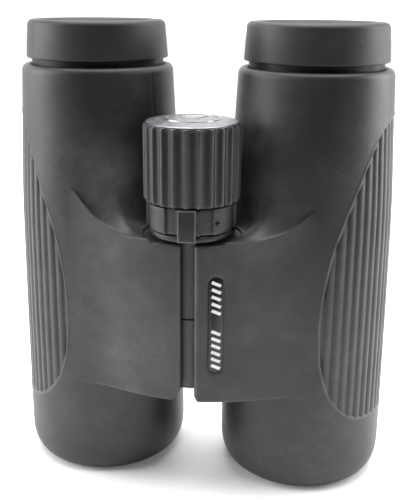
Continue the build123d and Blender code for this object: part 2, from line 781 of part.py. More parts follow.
save(hinge_axle(), "hinge_axle")
save(hinge_washer(), "hinge_washer")
save(hinge_end_cap(), "hinge_end_cap")
save(focus_spool(), "focus_spool")
save(focus_screw(), "focus_screw")
save(hinge_post(), "hinge_post")
save(hinge_collar(), "hinge_collar")
save(index_tab(), "index_tab")
save(diopter_ring(), "diopter_ring")
save(knob_core(), "knob_core")
save(knob_grip(), "knob_grip")
save(knob_cap(), "knob_cap")
save(knob_screw(), "knob_screw")
save(thrust_washer(), "thrust_washer")
save(rating_label(), "rating_label")
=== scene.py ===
"""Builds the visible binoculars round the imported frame.

Lengths in the outlines below are millimetres; MM turns them into the frame's metres. A barrel's own
outline is written with u towards the hinge, v towards the front and z up, from the barrel's axis.
"""

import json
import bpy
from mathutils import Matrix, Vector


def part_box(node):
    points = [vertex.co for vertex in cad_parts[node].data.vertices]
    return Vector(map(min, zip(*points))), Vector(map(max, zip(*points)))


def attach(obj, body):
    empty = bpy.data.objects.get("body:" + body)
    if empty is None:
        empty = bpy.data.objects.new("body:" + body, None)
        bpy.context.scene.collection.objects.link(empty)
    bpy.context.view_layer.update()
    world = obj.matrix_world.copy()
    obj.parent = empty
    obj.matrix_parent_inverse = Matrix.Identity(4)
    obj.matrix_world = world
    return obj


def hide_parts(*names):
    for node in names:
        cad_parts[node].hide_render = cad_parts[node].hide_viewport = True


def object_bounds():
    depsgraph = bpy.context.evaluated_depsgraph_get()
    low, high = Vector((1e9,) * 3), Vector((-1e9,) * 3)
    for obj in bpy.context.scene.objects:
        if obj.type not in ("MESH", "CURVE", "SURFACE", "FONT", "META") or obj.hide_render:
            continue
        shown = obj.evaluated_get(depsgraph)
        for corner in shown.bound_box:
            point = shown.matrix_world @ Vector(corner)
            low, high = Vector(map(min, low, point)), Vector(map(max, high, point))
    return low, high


bl_info = {
    "name": "Binocular Workshop",
    "version": (1, 0, 0),
    "blender": (4, 5, 0),
    "location": "View3D > Sidebar > Binoculars",
    "description": "Rubber-armoured roof-prism binoculars, piece by piece",
    "category": "Add Mesh",
}

from math import asin, atan2, cos, hypot, pi, radians, sin, sqrt, tau

import bmesh
import bpy
import numpy as np
from mathutils import Matrix, Vector

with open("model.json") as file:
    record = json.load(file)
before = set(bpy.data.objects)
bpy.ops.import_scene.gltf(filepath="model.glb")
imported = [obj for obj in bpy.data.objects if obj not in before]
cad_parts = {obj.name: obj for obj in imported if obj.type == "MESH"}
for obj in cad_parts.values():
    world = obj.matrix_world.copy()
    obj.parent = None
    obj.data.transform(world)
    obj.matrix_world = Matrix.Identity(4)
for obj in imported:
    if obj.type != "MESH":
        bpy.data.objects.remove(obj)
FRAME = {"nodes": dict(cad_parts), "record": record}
CAD_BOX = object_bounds()

MM = 0.001
SAME_POINT = 1e-4           # millimetres within which two points are one
LEFT, RIGHT = -1, 1
SIDES = ((LEFT, "left"), (RIGHT, "right"))


def middle(node):
    """Middle of a node's box, in metres."""
    low, high = (Vector(corner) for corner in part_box(node))
    return (low + high) / 2


AXES = {side: middle(f"{name}_eyecup_sleeve") / MM for side, name in SIDES}
HINGE = middle("knob_grip") / MM
TABLE_TOP = CAD_BOX[0][2]


# ------------------------------------------------------------------ meshes
def finish_piece(name, form, body, materials, replaced=(), smooth=True):
    """Turn a bmesh in millimetres into a finished object that rides on a body."""
    bmesh.ops.scale(form, vec=(MM, MM, MM), verts=form.verts)
    mesh = bpy.data.meshes.new(name)
    form.to_mesh(mesh)
    form.free()
    mesh.polygons.foreach_set("use_smooth", [smooth] * len(mesh.polygons))
    for material in materials:
        mesh.materials.append(material)
    piece = bpy.data.objects.new(name, mesh)
    bpy.context.scene.collection.objects.link(piece)
    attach(piece, body)
    if replaced:
        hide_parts(*replaced)
    return piece


def bevel(form, edges, width, segments, material=-1):
    """Round off some edges; the new faces may take another of the piece's materials."""
    bmesh.ops.bevel(
        form, geom=edges, offset=width, segments=segments, profile=0.5, affect="EDGES", material=material
    )


def lengthened(form, region, back):
    """Extrude faces and move what is drawn out."""
    drawn = bmesh.ops.extrude_face_region(form, geom=region)
    verts = [item for item in drawn["geom"] if isinstance(item, bmesh.types.BMVert)]
    bmesh.ops.translate(form, vec=back, verts=verts)


def crease(piece, angle):
    """Keep edges sharper than an angle crisp on a smooth-shaded piece."""
    piece.data.set_sharp_from_angle(angle=radians(angle))


def revolved(form, corners, edges, centre, steps):
    """Sweep a drawn outline once round an upright axis."""
    bmesh.ops.spin(
        form, geom=corners + edges, cent=(centre[0], centre[1], 0), axis=(0, 0, 1),
        dvec=(0, 0, 0), angle=tau, steps=steps, use_merge=True,
    )


def spun(outline, centre, steps):
    """Closed ring of revolution of (radius, height) corners about an upright axis."""
    form = bmesh.new()
    corners = [form.verts.new((centre[0] + r, centre[1], z)) for r, z in outline]
    edges = [form.edges.new(pair) for pair in zip(corners, corners[1:] + corners[:1])]
    revolved(form, corners, edges, centre, steps)
    bmesh.ops.recalc_face_normals(form, faces=form.faces)
    return form


def turned(outline, centre, steps):
    """Solid of revolution whose outline starts and ends on the axis."""
    form = bmesh.new()
    corners = [form.verts.new((centre[0] + r, centre[1], z)) for r, z in outline]
    edges = [form.edges.new(pair) for pair in zip(corners, corners[1:])]
    revolved(form, corners, edges, centre, steps)
    bmesh.ops.remove_doubles(form, verts=form.verts, dist=SAME_POINT)
    bmesh.ops.recalc_face_normals(form, faces=form.faces)
    return form


def rounded(corners, steps=4):
    """Outline with its (r, z, radius) corners rounded; a radius of 0 stays sharp."""
    outline = []
    count = len(corners)
    for index, (r, z, radius) in enumerate(corners):
        here = Vector((r, z))
        if radius == 0:
            outline.append((r, z))
            continue
        before = Vector(corners[index - 1][:2]) - here
        after = Vector(corners[(index + 1) % count][:2]) - here
        radius = min(radius, before.length * 0.49, after.length * 0.49)
        start, end = here + before.normalized() * radius, here + after.normalized() * radius
        for step in range(steps + 1):
            t = step / steps
            point = start * (1 - t) ** 2 + here * 2 * t * (1 - t) + end * t**2
            outline.append((point.x, point.y))
    return outline


def smooth_step(value, low, high):
    """0 below low, 1 above high, smooth between; for numbers and arrays."""
    t = np.clip((value - low) / (high - low), 0, 1)
    return t * t * (3 - 2 * t)


def through(points, value):
    """Smooth curve through (position, height) points, read at a value or an array."""
    xs, ys = (np.array(part, float) for part in zip(*points))
    slopes = np.gradient(ys, xs)
    value = np.clip(value, xs[0], xs[-1])
    index = np.clip(np.searchsorted(xs, value) - 1, 0, len(xs) - 2)
    width = xs[index + 1] - xs[index]
    t = (value - xs[index]) / width
    rise = (1 + 2 * t) * (1 - t) ** 2 * ys[index] + t * (1 - t) ** 2 * width * slopes[index]
    return rise + t * t * (3 - 2 * t) * ys[index + 1] + t * t * (t - 1) * width * slopes[index + 1]


# ------------------------------------------------------------------ materials
class Value:
    """A shader socket that takes part in Python arithmetic."""

    def __init__(self, recipe, socket):
        self.recipe = recipe
        self.socket = socket

    def maths(self, operation, *others, clamp=False):
        return self.recipe.node(
            "ShaderNodeMath", {"operation": operation, "use_clamp": clamp}, (self, *others)
        )

    def __add__(self, other):
        return self.maths("ADD", other)

    def __sub__(self, other):
        return self.maths("SUBTRACT", other)

    def __mul__(self, other):
        return self.maths("MULTIPLY", other)

    def __pow__(self, other):
        return self.maths("POWER", other)

    def __rsub__(self, other):
        return self.recipe.node("ShaderNodeMath", {"operation": "SUBTRACT"}, (other, self))

    __radd__ = __add__
    __rmul__ = __mul__

    def clamp(self):
        return self.maths("ADD", 0.0, clamp=True)

    def step(self, low, high):
        """0 below low, 1 above high, smooth between."""
        return self.recipe.node(
            "ShaderNodeMapRange", {"interpolation_type": "SMOOTHSTEP"}, (self, low, high, 0.0, 1.0)
        )


class Recipe:
    """One material: a Principled shader and the nodes that vary it."""

    def __init__(self, name, color, roughness, **constants):
        self.material = bpy.data.materials.new(name)
        self.material.use_nodes = True
        self.tree = self.material.node_tree
        self.tree.nodes.clear()
        output = self.tree.nodes.new("ShaderNodeOutputMaterial")
        self.shader = self.tree.nodes.new("ShaderNodeBsdfPrincipled")
        self.tree.links.new(self.shader.outputs[0], output.inputs[0])
        self.set("Base Color", (*color, 1.0))
        self.set("Roughness", roughness)
        for socket, value in constants.items():
            self.set(socket.replace("_", " "), value)
        self.place = self.node("ShaderNodeTexCoord", output="Object")

    def set(self, socket, value):
        """Give a socket of the shader a constant or a link."""
        self.plug(self.shader.inputs[socket], value)

    def plug(self, socket, value):
        """Give any socket a constant or a link."""
        if isinstance(value, Value):
            self.tree.links.new(value.socket, socket)
        else:
            socket.default_value = value

    def node(self, kind, settings=None, inputs=(), output=0):
        """Add a node; inputs are in order, or a dict by socket name."""
        node = self.tree.nodes.new(kind)
        for key, value in (settings or {}).items():
            setattr(node, key, value)
        pairs = inputs.items() if isinstance(inputs, dict) else enumerate(inputs)
        for key, value in pairs:
            self.plug(node.inputs[key], value)
        return Value(self, node.outputs[output])

    def stretched(self, scale, turn):
        """Object coordinates turned, then scaled along each axis."""
        return self.node(
            "ShaderNodeMapping", {}, {"Vector": self.place, "Rotation": turn, "Scale": scale}
        )

    def noise(self, scale, detail=3.0, roughness=0.55, warp=0.0, place=None):
        """Clouds, about scale of them to a metre."""
        inputs = {
            "Vector": place or self.place, "Scale": scale, "Detail": detail,
            "Roughness": roughness, "Distortion": warp,
        }
        return self.node("ShaderNodeTexNoise", {}, inputs)

    def cells(self, scale):
        """Distance to the nearest of many scattered points."""
        return self.node("ShaderNodeTexVoronoi", {}, {"Vector": self.place, "Scale": scale})

    def attribute(self, name):
        """A number stored on the mesh's points."""
        return self.node("ShaderNodeAttribute", {"attribute_name": name}, output="Fac")

    def near(self, point, radius, fade):
        """1 inside a ball round a point in millimetres, fading out over its edge."""
        gap = self.node(
            "ShaderNodeVectorMath", {"operation": "DISTANCE"},
            (self.place, Vector(point) * MM), output="Value",
        )
        return 1 - gap.step((radius - fade) * MM, (radius + fade) * MM)

    def mix(self, factor, first, second):
        """Blend two colours."""
        node = self.tree.nodes.new("ShaderNodeMix")
        node.data_type = "RGBA"
        self.plug(node.inputs["Factor"], factor)
        for socket, value in ((node.inputs[6], first), (node.inputs[7], second)):
            self.plug(socket, value if isinstance(value, Value) else (*value, 1.0))
        return Value(self, node.outputs[2])

    def bump(self, height, distance, strength):
        """Relief in metres, laid over any relief already there."""
        inputs = {"Height": height, "Distance": distance, "Strength": strength}
        previous = self.shader.inputs["Normal"].links
        if previous:
            inputs["Normal"] = Value(self, previous[0].from_socket)
        self.set("Normal", self.node("ShaderNodeBump", {}, inputs))


def moulded_rubber(name, color, dust, chalk, roughness, dusty_spots=(), painted_highlight=0.0):
    """Matt rubber with grain, clouds of chalk, specks and hair scratches.

    Each dusty spot is a point and a radius in millimetres and a strength; the last argument is how far
    the mesh's stored marks pale the surface, as painted highlight on edges, rib crests and ridges.
    """
    recipe = Recipe(name, color, roughness)
    broad = recipe.noise(38.0, 4.0, 0.58, 0.1).step(0.3, 0.72)
    mottle = recipe.noise(210.0, 5.0, 0.66, 0.1).step(0.35, 0.75)
    bloom = broad * (mottle * 0.6 + 0.4) * (chalk * 0.36)
    for point, radius, strength in dusty_spots:
        smear = recipe.noise(120.0, 6.0, 0.66, 0.15).step(0.3, 0.72) * 0.75 + 0.25
        bloom = bloom + recipe.near(point, radius, radius * 0.7) * smear * (chalk * strength)
    bloom = bloom.clamp()
    speck = 1 - recipe.cells(520.0).step(0.05, 0.12)
    speck = speck * recipe.noise(75.0, 2.0).step(0.6, 0.68)
    long_grain = recipe.stretched((700.0, 700.0, 60.0), (0.5, 0.8, 0.2))
    hairs = recipe.noise(1.0, 2.0, 0.5, 0.3, place=long_grain)
    scratch = hairs.step(0.74, 0.76) * recipe.noise(55.0, 2.0).step(0.6, 0.68)
    tone = recipe.mix(bloom, color, dust)
    # Painted highlight: the mesh's stored marks pale edges, rib crests and ridges towards the dust colour,
    # in patches.
    if painted_highlight:
        patchy = recipe.noise(160.0, 4.0, 0.6).step(0.25, 0.7) * 0.6 + 0.4
        tone = recipe.mix((recipe.attribute("rub_and_highlight") * patchy * painted_highlight).clamp(), tone, dust)
    tone = recipe.mix((speck * 0.6 + scratch * 0.12).clamp(), tone, [c * 1.6 for c in dust])
    recipe.set("Base Color", tone)
    polish = recipe.noise(45.0, 3.0).step(0.35, 0.7)
    recipe.set("Roughness", (polish * 0.08 + bloom * 0.2 + (roughness - 0.04)).clamp())
    grain = recipe.noise(2600.0, 4.0, 0.65)
    pores = recipe.cells(1500.0)
    recipe.bump(grain * 0.6 + pores * 0.4, 0.00005, 0.5)
    recipe.bump(speck * 0.5 - scratch, 0.00004, 0.5)
    return recipe.material


def moulded_plastic(name, color, roughness, wear):
    """Fine-textured hard plastic with rubbed patches and dust."""
    recipe = Recipe(name, color, roughness)
    rub_and_highlight = recipe.noise(120.0, 4.0, 0.6, 0.3).step(0.48, 0.72)
    dust = 1 - recipe.cells(900.0).step(0.04, 0.1)
    dust = dust * recipe.noise(80.0, 2.0).step(0.55, 0.65)
    tone = recipe.mix(rub_and_highlight * wear, color, [c * 2.2 + 0.01 for c in color])
    recipe.set("Base Color", recipe.mix(dust * 0.5, tone, (0.3, 0.3, 0.29)))
    recipe.set("Roughness", rub_and_highlight * 0.12 + recipe.noise(300.0, 3.0) * 0.1 + (roughness - 0.08))
    recipe.bump(recipe.noise(3200.0, 3.0, 0.6), 0.00004, 0.5)
    return recipe.material


def turned_metal(name, color, roughness):
    """Metal with lathe lines round the hinge's axis, smudges and a little tarnish."""
    tarnish = (0.2, 0.18, 0.15)
    recipe = Recipe(name, color, roughness, Metallic=1.0)
    moved = recipe.node(
        "ShaderNodeMapping", {}, {"Vector": recipe.place, "Location": tuple(-c * MM for c in HINGE)}
    )
    split = recipe.node("ShaderNodeSeparateXYZ", {}, (moved,), output="X")
    deep = Value(recipe, split.socket.node.outputs["Y"])
    radius = (split * split + deep * deep) ** 0.5
    ring = recipe.node("ShaderNodeCombineXYZ", {}, (radius, 0.0, 0.0))
    lathe = recipe.noise(5200.0, 2.0, 0.6, place=ring)
    smudge = recipe.noise(210.0, 5.0, 0.65, 0.5).step(0.44, 0.7)
    spots = 1 - recipe.cells(1100.0).step(0.06, 0.16)
    spots = spots * recipe.noise(170.0, 2.0).step(0.5, 0.64)
    tone = recipe.mix(smudge * 0.35, color, [c * 0.62 for c in color])
    recipe.set("Base Color", recipe.mix(spots * 0.6, tone, tarnish))
    recipe.set("Roughness", smudge * 0.18 + lathe * 0.12 + (roughness - 0.1))
    recipe.bump(lathe, 0.00002, 0.5)
    recipe.bump(spots * -1.0, 0.00003, 0.6)
    return recipe.material


def blackened_metal(name, shade):
    """Matt black anodising with a faint bloom of dust on it."""
    color = (shade, shade, shade * 1.08)
    recipe = Recipe(name, color, 0.5, Metallic=0.0, Specular_IOR_Level=0.3)
    dust = recipe.noise(90.0, 4.0, 0.6).step(0.5, 0.75)
    recipe.set("Base Color", recipe.mix(dust * 0.3, color, [c * 4 for c in color]))
    recipe.set("Roughness", dust * 0.2 + recipe.noise(700.0, 3.0) * 0.12 + 0.4)
    recipe.bump(recipe.noise(2400.0, 3.0), 0.00003, 0.4)
    return recipe.material


def coated_glass(name, tint, film):
    """Optical glass with a coloured coating, dust and a few finger marks."""
    recipe = Recipe(
        name, tint, 0.03, Transmission_Weight=0.85, IOR=1.52, Coat_Weight=0.6,
        Coat_Roughness=0.02, Coat_Tint=(*film, 1.0), Specular_Tint=(*film, 1.0),
    )
    print_mark = recipe.noise(170.0, 5.0, 0.6, 1.2).step(0.55, 0.75)
    dust = 1 - recipe.cells(1300.0).step(0.03, 0.07)
    dust = dust * recipe.noise(120.0, 2.0).step(0.5, 0.6)
    recipe.set("Base Color", recipe.mix(dust * 0.5, tint, (0.7, 0.7, 0.7)))
    recipe.set("Roughness", print_mark * 0.05 + dust * 0.3 + 0.02)
    return recipe.material


def white_print(name):
    """Printed white marks, slightly worn."""
    ink = (0.82, 0.82, 0.8)
    recipe = Recipe(name, ink, 0.45)
    wear = recipe.noise(900.0, 4.0, 0.6).step(0.5, 0.75)
    recipe.set("Base Color", recipe.mix(wear * 0.45, ink, (0.42, 0.42, 0.42)))
    recipe.set("Roughness", wear * 0.2 + 0.4)
    return recipe.material


def dark_print(name):
    """Engraved marks filled with dark paint."""
    paint = (0.002, 0.002, 0.002)
    recipe = Recipe(name, paint, 0.8, Specular_IOR_Level=0.05)
    grime = recipe.noise(900.0, 3.0)
    recipe.set("Base Color", recipe.mix(grime, paint, (0.006, 0.006, 0.006)))
    recipe.set("Roughness", grime * 0.2 + 0.7)
    return recipe.material


def pale_floor(name):
    """White paper, with painted shade that darkens it towards the camera and a faint painted glow behind
    the barrels that lifts their shadow.
    """
    recipe = Recipe(name, (0.93, 0.93, 0.93), 0.8)
    cloud = recipe.noise(3.0, 3.0)
    paper = recipe.mix(cloud, (0.95, 0.95, 0.95), (0.92, 0.92, 0.92))
    depth = recipe.node("ShaderNodeSeparateXYZ", {}, (recipe.place,), output="Y")
    # Painted glow on the paper behind the barrels, lifting their shadow.
    glow = recipe.mix(depth.step(-0.1, 0.05), (0.0, 0.0, 0.0), (0.15, 0.15, 0.15))
    # Painted shade: the paper turns dark grey towards the camera.
    recipe.set("Base Color", recipe.mix(depth.step(-0.42, -0.08), (0.1, 0.1, 0.1), paper))
    recipe.set("Emission Color", glow)
    recipe.set("Emission Strength", 1.0)
    return recipe.material


# ------------------------------------------------------------------ armour outline
RIM_R, RIM_ROUND = 26.85, 9.5
RIM_TURN = [(0.0, 22.6), (0.25, 23.3), (0.7, 23.9), (1.5, 24.75), (2.5, 25.45), (3.8, 26.05),
            (5.4, 26.5), (7.3, 26.76), (9.5, 26.85)]
BARREL_TAPER = [(24.0, 26.85), (62.0, 26.35), (95.0, 25.55), (110.5, 24.65), (129.6, 23.55)]
SHOULDER_LOW, SHOULDER_TOP, SHOULDER_R = 129.6, 131.8, 21.9
LIP_R, LIP_LOW = 20.7, 131.3
SKIN = 1.85
HOOD_R, HOOD_TOP = 21.9, 2.5

PLATE_START = -8.0          # degrees round the barrel where the plate leaves it
PLATE_END = 75.0
PLATE_FOOT_R = 26.5         # barrel radius the plate's plan is drawn on
PLATE_FRONT = [(7.0, 28.6), (14.0, 31.0), (21.5, 33.3), (28.0, 34.5)]
PLATE_TIP = 34.9
PLATE_EDGE = {LEFT: 1.6, RIGHT: 2.4}
PLATE_CORNER = {LEFT: 2.6, RIGHT: 1.0}
PLATE_ROUND = 0.95          # rounding of a plate's upright front edge
PLATE_BOTTOM, PLATE_TOP = 34.0, 85.0
SCOOP_START = {LEFT: 17.0, RIGHT: 18.0}     # how far out the scoop starts to climb
SCOOP_CLIMB = {LEFT: 0.034, RIGHT: 0.026}
SCOOP_DEPTH, SCOOP_HEIGHT = 8.0, 1.5        # deepest hollow, and its height for each depth
POCKET_R, POCKET_FLOOR = 14.6, 83.9
HOLLOW_R = 8.7
REAR_WEDGE = 14.0

GRIP_OUTLINE = [
    (23.0, 90), (23.3, 70), (25.6, 38), (33, 21.5), (41, 14.7), (54, 11.6), (64.5, 12.2),
    (73, 14.6), (80, 17.6), (88, 23.4), (98.6, 33.5), (106.7, 42.5), (115, 56), (118.2, 76), (118.6, 90),
]
GRIP_MM_PER_DEGREE = 26.0 * pi / 180
RIB_PITCH = 6.6             # degrees
RIB_DEPTH = 0.55
GRIP_SINK = 0.1
GRIP_ARC = (197, 343)       # degrees round the barrel between which the grip can lie
SEAM_AZIMUTH = {LEFT: 57.5, RIGHT: 52.0}

LABEL_X, LABEL_WIDTH = 8.8, 4.6
LABEL_LOW, LABEL_HIGH = 44.2, 74.4
LABEL_TILT = 13.0           # degrees that the plate's front leans back

KNOB_SEAT_R = 13.3          # where the knob's rubber meets its cap
FLUTE_AZIMUTH = 9.4
FLUTE_R = 1.62              # radius of the round tool that cuts a flute
DOME_R = 12.6
EMBLEM_R, EMBLEM_RAISED = 7.9, 0.16
RING_R, RING_LANDS, RING_AZIMUTH = 13.6, 8, -17.6
GROOVE_DEPTH = 0.75
SIGNS = (("diopter_plus", 41.0), ("diopter_minus", -85.0))
TAB_FRONT, TAB_WIDTH, TAB_THICK = 14.42, 5.3, 0.68
TAB_FOOT_DEPTH = 1.1        # how far the tab's foot reaches back to the collar
TAB_AZIMUTH = 2.9


def barrel_radius(z):
    """Outside radius of the armour round the barrel's own axis."""
    rim = through(RIM_TURN, z)
    turn = np.clip((z - SHOULDER_LOW) / (SHOULDER_TOP - SHOULDER_LOW), 0, 1)
    shoulder = SHOULDER_R + (BARREL_TAPER[-1][1] - SHOULDER_R) * np.sqrt(1 - turn**2)
    body = through(BARREL_TAPER, z)
    return np.where(z < RIM_ROUND, rim, np.where(z > SHOULDER_LOW, shoulder, body))


def plate_path(side):
    """Plan of one plate as (u, v) points, from the barrel's front round to its inner side."""
    reach = AXES[RIGHT].x
    forward = AXES[side].y - HINGE.y
    edge = PLATE_EDGE[side]
    ends = [
        (PLATE_FOOT_R * sin(radians(turn)), PLATE_FOOT_R * cos(radians(turn)))
        for turn in (PLATE_START - 5, PLATE_START)
    ]
    ends += PLATE_FRONT + [(reach - edge - PLATE_ROUND, PLATE_TIP)]
    path = [(u, float(through(ends, u))) for u in np.linspace(ends[1][0], ends[-1][0], 58)]
    centre = Vector(path[-1]) - Vector((0, PLATE_ROUND))
    for turn in np.linspace(0.2, pi / 2, 7):
        path.append((centre.x + PLATE_ROUND * sin(turn), centre.y + PLATE_ROUND * cos(turn)))
    entry = asin(edge / HOLLOW_R)
    path.append((reach - edge, forward + HOLLOW_R * cos(entry) + 0.3))
    for turn in np.linspace(entry + 0.03, pi - radians(REAR_WEDGE), 22):
        path.append((reach - HOLLOW_R * sin(turn), forward + HOLLOW_R * cos(turn)))
    wedge = radians(REAR_WEDGE)
    for radius in (9.6, 10.8, 12.0):
        path.append((reach - radius * sin(wedge), forward - radius * cos(wedge)))
    close = (reach - 8.3, 6.9)
    last = Vector(path[-1])
    path += [tuple(last.lerp(close, t)) for t in (0.2, 0.4, 0.6, 0.8)]
    finish = radians(PLATE_END)
    path.append((PLATE_FOOT_R * sin(finish), PLATE_FOOT_R * cos(finish)))
    return np.array(path)


def grip_edge():
    """Edge of the ribbed grip as (degrees from straight ahead, height), evenly fine."""
    heights, turns = np.array(GRIP_OUTLINE).T
    steps = np.hypot(np.diff(turns) * GRIP_MM_PER_DEGREE, np.diff(heights))
    along = np.concatenate([[0], np.cumsum(steps)])
    fine = np.linspace(0, along[-1], 420)
    return through(list(zip(along, turns)), fine), through(list(zip(along, heights)), fine)


def grip_relief(azimuth, z):
    """Height of the ribbed grip over the plain barrel, and how much painted highlight its border and rib
    crests get.
    """
    away = np.degrees(np.abs((azimuth + pi) % tau - pi))
    folded = np.minimum(away, 180 - away)
    edge_turn, edge_z = grip_edge()
    line = np.stack([edge_turn * GRIP_MM_PER_DEGREE, edge_z], 1)
    spots = np.stack([folded * GRIP_MM_PER_DEGREE, z], -1)
    gap = np.full(z.shape, 1e9)
    for start, end in zip(line[:-1], line[1:]):
        along = end - start
        t = np.clip(((spots - start) @ along) / (along @ along), 0, 1)
        gap = np.minimum(gap, np.hypot(*np.moveaxis(spots - start - t[..., None] * along, -1, 0)))
    within = (z > edge_z[0]) & (z < edge_z[-1])
    inside = within & (folded > np.interp(z, edge_z, edge_turn))
    gap = np.where(inside, gap, -gap)
    lobe = np.abs(np.cos(pi * (folded - 90) / RIB_PITCH)) ** 0.8
    ribs = -GRIP_SINK - RIB_DEPTH * (1 - lobe)
    moat = -0.3 * np.exp(-(((gap - 0.55) / 0.3) ** 2))
    sunk = smooth_step(gap, 0.05, 0.5)
    edge = np.exp(-(((gap + 0.12) / 0.3) ** 2))
    crest = smooth_step(lobe, 0.8, 1.0) * sunk
    # The second value is painted highlight: a bright line along the grip's border and fainter lines on the
    # rib crests.
    return sunk * ribs + moat * (1 - sunk * 0.5) + 0.2 * edge, np.maximum(edge, 0.3 * crest)


def softened(values):
    """Values round a closed ring, blurred over a few neighbours."""
    kernel = np.exp(-((np.arange(-14, 15) / 6.0) ** 2))
    return np.convolve(np.pad(values, 14, mode="wrap"), kernel / kernel.sum(), "valid")


def plain(values, columns):
    """Rows that are the same all the way round."""
    return np.repeat(np.array(values, float)[:, None], columns, axis=1)


class ArmourShape:
    """The armour of one barrel, as columns round it and rows up it.

    turn is each column's azimuth. target is the plan point that the bridge plate's outline has on
    the column, and swell is how far it stands off the barrel, 0 where there is no plate.
    """

    def __init__(self, side):
        self.side = side
        self.reach, self.forward = AXES[RIGHT].x, AXES[side].y - HINGE.y
        self.lay_columns()
        self.lay_edges()
        self.lay_rows()
        self.press_relief()
        self.bend_to_plate()
        self.add_lining()

    def lay_columns(self):
        path = plate_path(self.side)
        steps = np.hypot(*np.diff(path, axis=0).T)
        share = np.concatenate([[0], np.cumsum(steps)]) / steps.sum()
        plate = radians(PLATE_START) + share * radians(PLATE_END - PLATE_START)
        start, end = GRIP_ARC
        back = np.radians(np.linspace(PLATE_END, start, 56)[1:-1])
        grip = np.radians(np.linspace(start, end, 236))
        front = np.radians(np.linspace(end, 360 + PLATE_START, 24)[1:-1])
        self.turn = np.concatenate([plate, back, grip, front])
        self.count, self.columns = len(path), len(self.turn)
        self.base = np.stack([np.sin(self.turn), np.cos(self.turn)], 1)
        self.target, self.swell = np.zeros((self.columns, 2)), np.zeros(self.columns)
        self.target[:self.count] = path
        self.swell[:self.count] = np.hypot(*(path - self.base[:self.count] * PLATE_FOOT_R).T)
        self.swell[self.swell < 0.03] = 0.0
        self.target[self.swell == 0] = 0

    def lay_edges(self):
        """Height of the plate's lower and upper edges, and the pocket and scoop above it."""
        side, target, swell = self.side, self.target, self.swell
        across = np.abs(self.reach - target[:, 0])
        in_front = target[:, 1] > self.forward - 2
        climb = SCOOP_CLIMB[side] * np.clip(across - SCOOP_START[side], 0, None) ** 2
        hinge_gap = np.hypot(target[:, 0] - self.reach, target[:, 1] - self.forward)
        pocket = 1 - smooth_step(hinge_gap, POCKET_R - 0.25, POCKET_R + 0.25)
        self.wall = (PLATE_TOP - POCKET_FLOOR) * pocket
        self.crown = PLATE_TOP + np.where(in_front, climb, 0.0) - self.wall
        foot = swell * 0.93
        for column in np.nonzero(pocket > 0.5)[0]:
            foot[column] = self.pocket_foot(column)
        self.foot = np.minimum(softened(foot), foot)
        self.sweep = SCOOP_HEIGHT * softened(np.minimum(0.93 * swell, SCOOP_DEPTH))
        corner = np.clip(PLATE_CORNER[side] - (across - PLATE_EDGE[side]), 0, None) * 1.4
        self.floor = PLATE_BOTTOM + np.where((swell > 0) & in_front, corner, 0.0)

    def pocket_foot(self, column):
        """How far out on a column the pocket round the knob leaves the plate standing."""
        root = self.base[column] * barrel_radius(np.array(PLATE_TOP - 1.0))
        along = self.target[column] - root
        clear = [
            t for t in np.linspace(0, 1, 120)
            if hypot(*(root + along * t - (self.reach, self.forward))) >= POCKET_R + 0.05
        ]
        return max(clear) * self.swell[column] if clear else 0.05

    def plate_rows(self):
        """Distance off the barrel and height of the rows that go up the plate and the scoop."""
        swell, floor, crown, foot, wall = self.swell, self.floor, self.crown, self.foot, self.wall
        top_round = np.minimum(0.65, 0.45 * swell)
        low_round = np.minimum(0.8, 0.45 * swell)
        fillet = np.minimum(1.4, 0.45 * swell)
        body_low, body_high = floor + low_round, crown - top_round
        rows = []
        for lean in np.linspace(0, pi / 2, 4)[1:]:
            rows.append((fillet * (1 - cos(lean)), floor - fillet * (1 - sin(lean))))
        rows.append(((fillet + swell - low_round) / 2, floor))
        for lean in np.linspace(0, pi / 2, 5):
            rows.append((swell - low_round * (1 - sin(lean)), floor + low_round * (1 - cos(lean))))
        for t in np.linspace(0, 1, 54)[1:-1]:
            rows.append((swell, body_low + (body_high - body_low) * t))
        for lean in np.linspace(0, pi / 2, 5):
            rows.append((swell - top_round * (1 - cos(lean)), body_high + top_round * sin(lean)))
        for t in (0.35, 0.7, 0.94):
            rows.append(((swell - top_round) * (1 - t) + foot * t, crown))
        for t in (0.25, 0.75, 1.0):
            rows.append((foot * (1 - 0.004 * t), crown + wall * t))
        for lean in np.linspace(0, pi / 2, 16)[1:]:
            rows.append((foot * (1 - sin(lean)), crown + wall + self.sweep * (1 - cos(lean))))
        out, height = (np.array(part) for part in zip(*rows))
        return out, height

    def lay_rows(self):
        """Rows from the rim up; where a plate hardly stands out its rows spread up the barrel."""
        out, height = self.plate_rows()
        summit = self.crown + self.wall + self.sweep
        last = self.turn[self.count - 1:]
        upper = summit + 0.6
        upper[self.count - 1:] = np.interp(last, [last[0], self.turn[0] + tau], [86.5, summit[1] + 0.6])
        upper[0] = summit[1] + 0.6
        even = 33.0 + (upper - 33.0) * (np.arange(len(out))[:, None] + 0.5) / len(out)
        firm = smooth_step(self.swell, 0.15, 1.1)
        height = height * firm + even * (1 - firm)
        below = [0.0, 0.1, 0.35, 0.8, 1.5, 2.6, 3.8, 5.2, 6.8, 8.4, 10.5, 13.5, 16.5, 19.0, 20.8]
        below = plain([*below, *np.linspace(21.6, 26.6, 18), *np.linspace(27.2, 32.4, 9)], self.columns)
        top = np.maximum(height[-1], 86.5) + 0.5
        rise = np.linspace(0, 1, 62)[:, None]
        above = top * (1 - rise) + (SHOULDER_LOW - 0.4) * rise
        shoulder = plain([129.6, 130.15, 130.65, 131.1, 131.45, 131.68, 131.8], self.columns)
        self.z = np.concatenate([below, height, above, shoulder])
        stand_off = (np.zeros(below.shape), out, np.zeros(above.shape), np.zeros(shoulder.shape))
        self.stand_off = np.concatenate(stand_off)

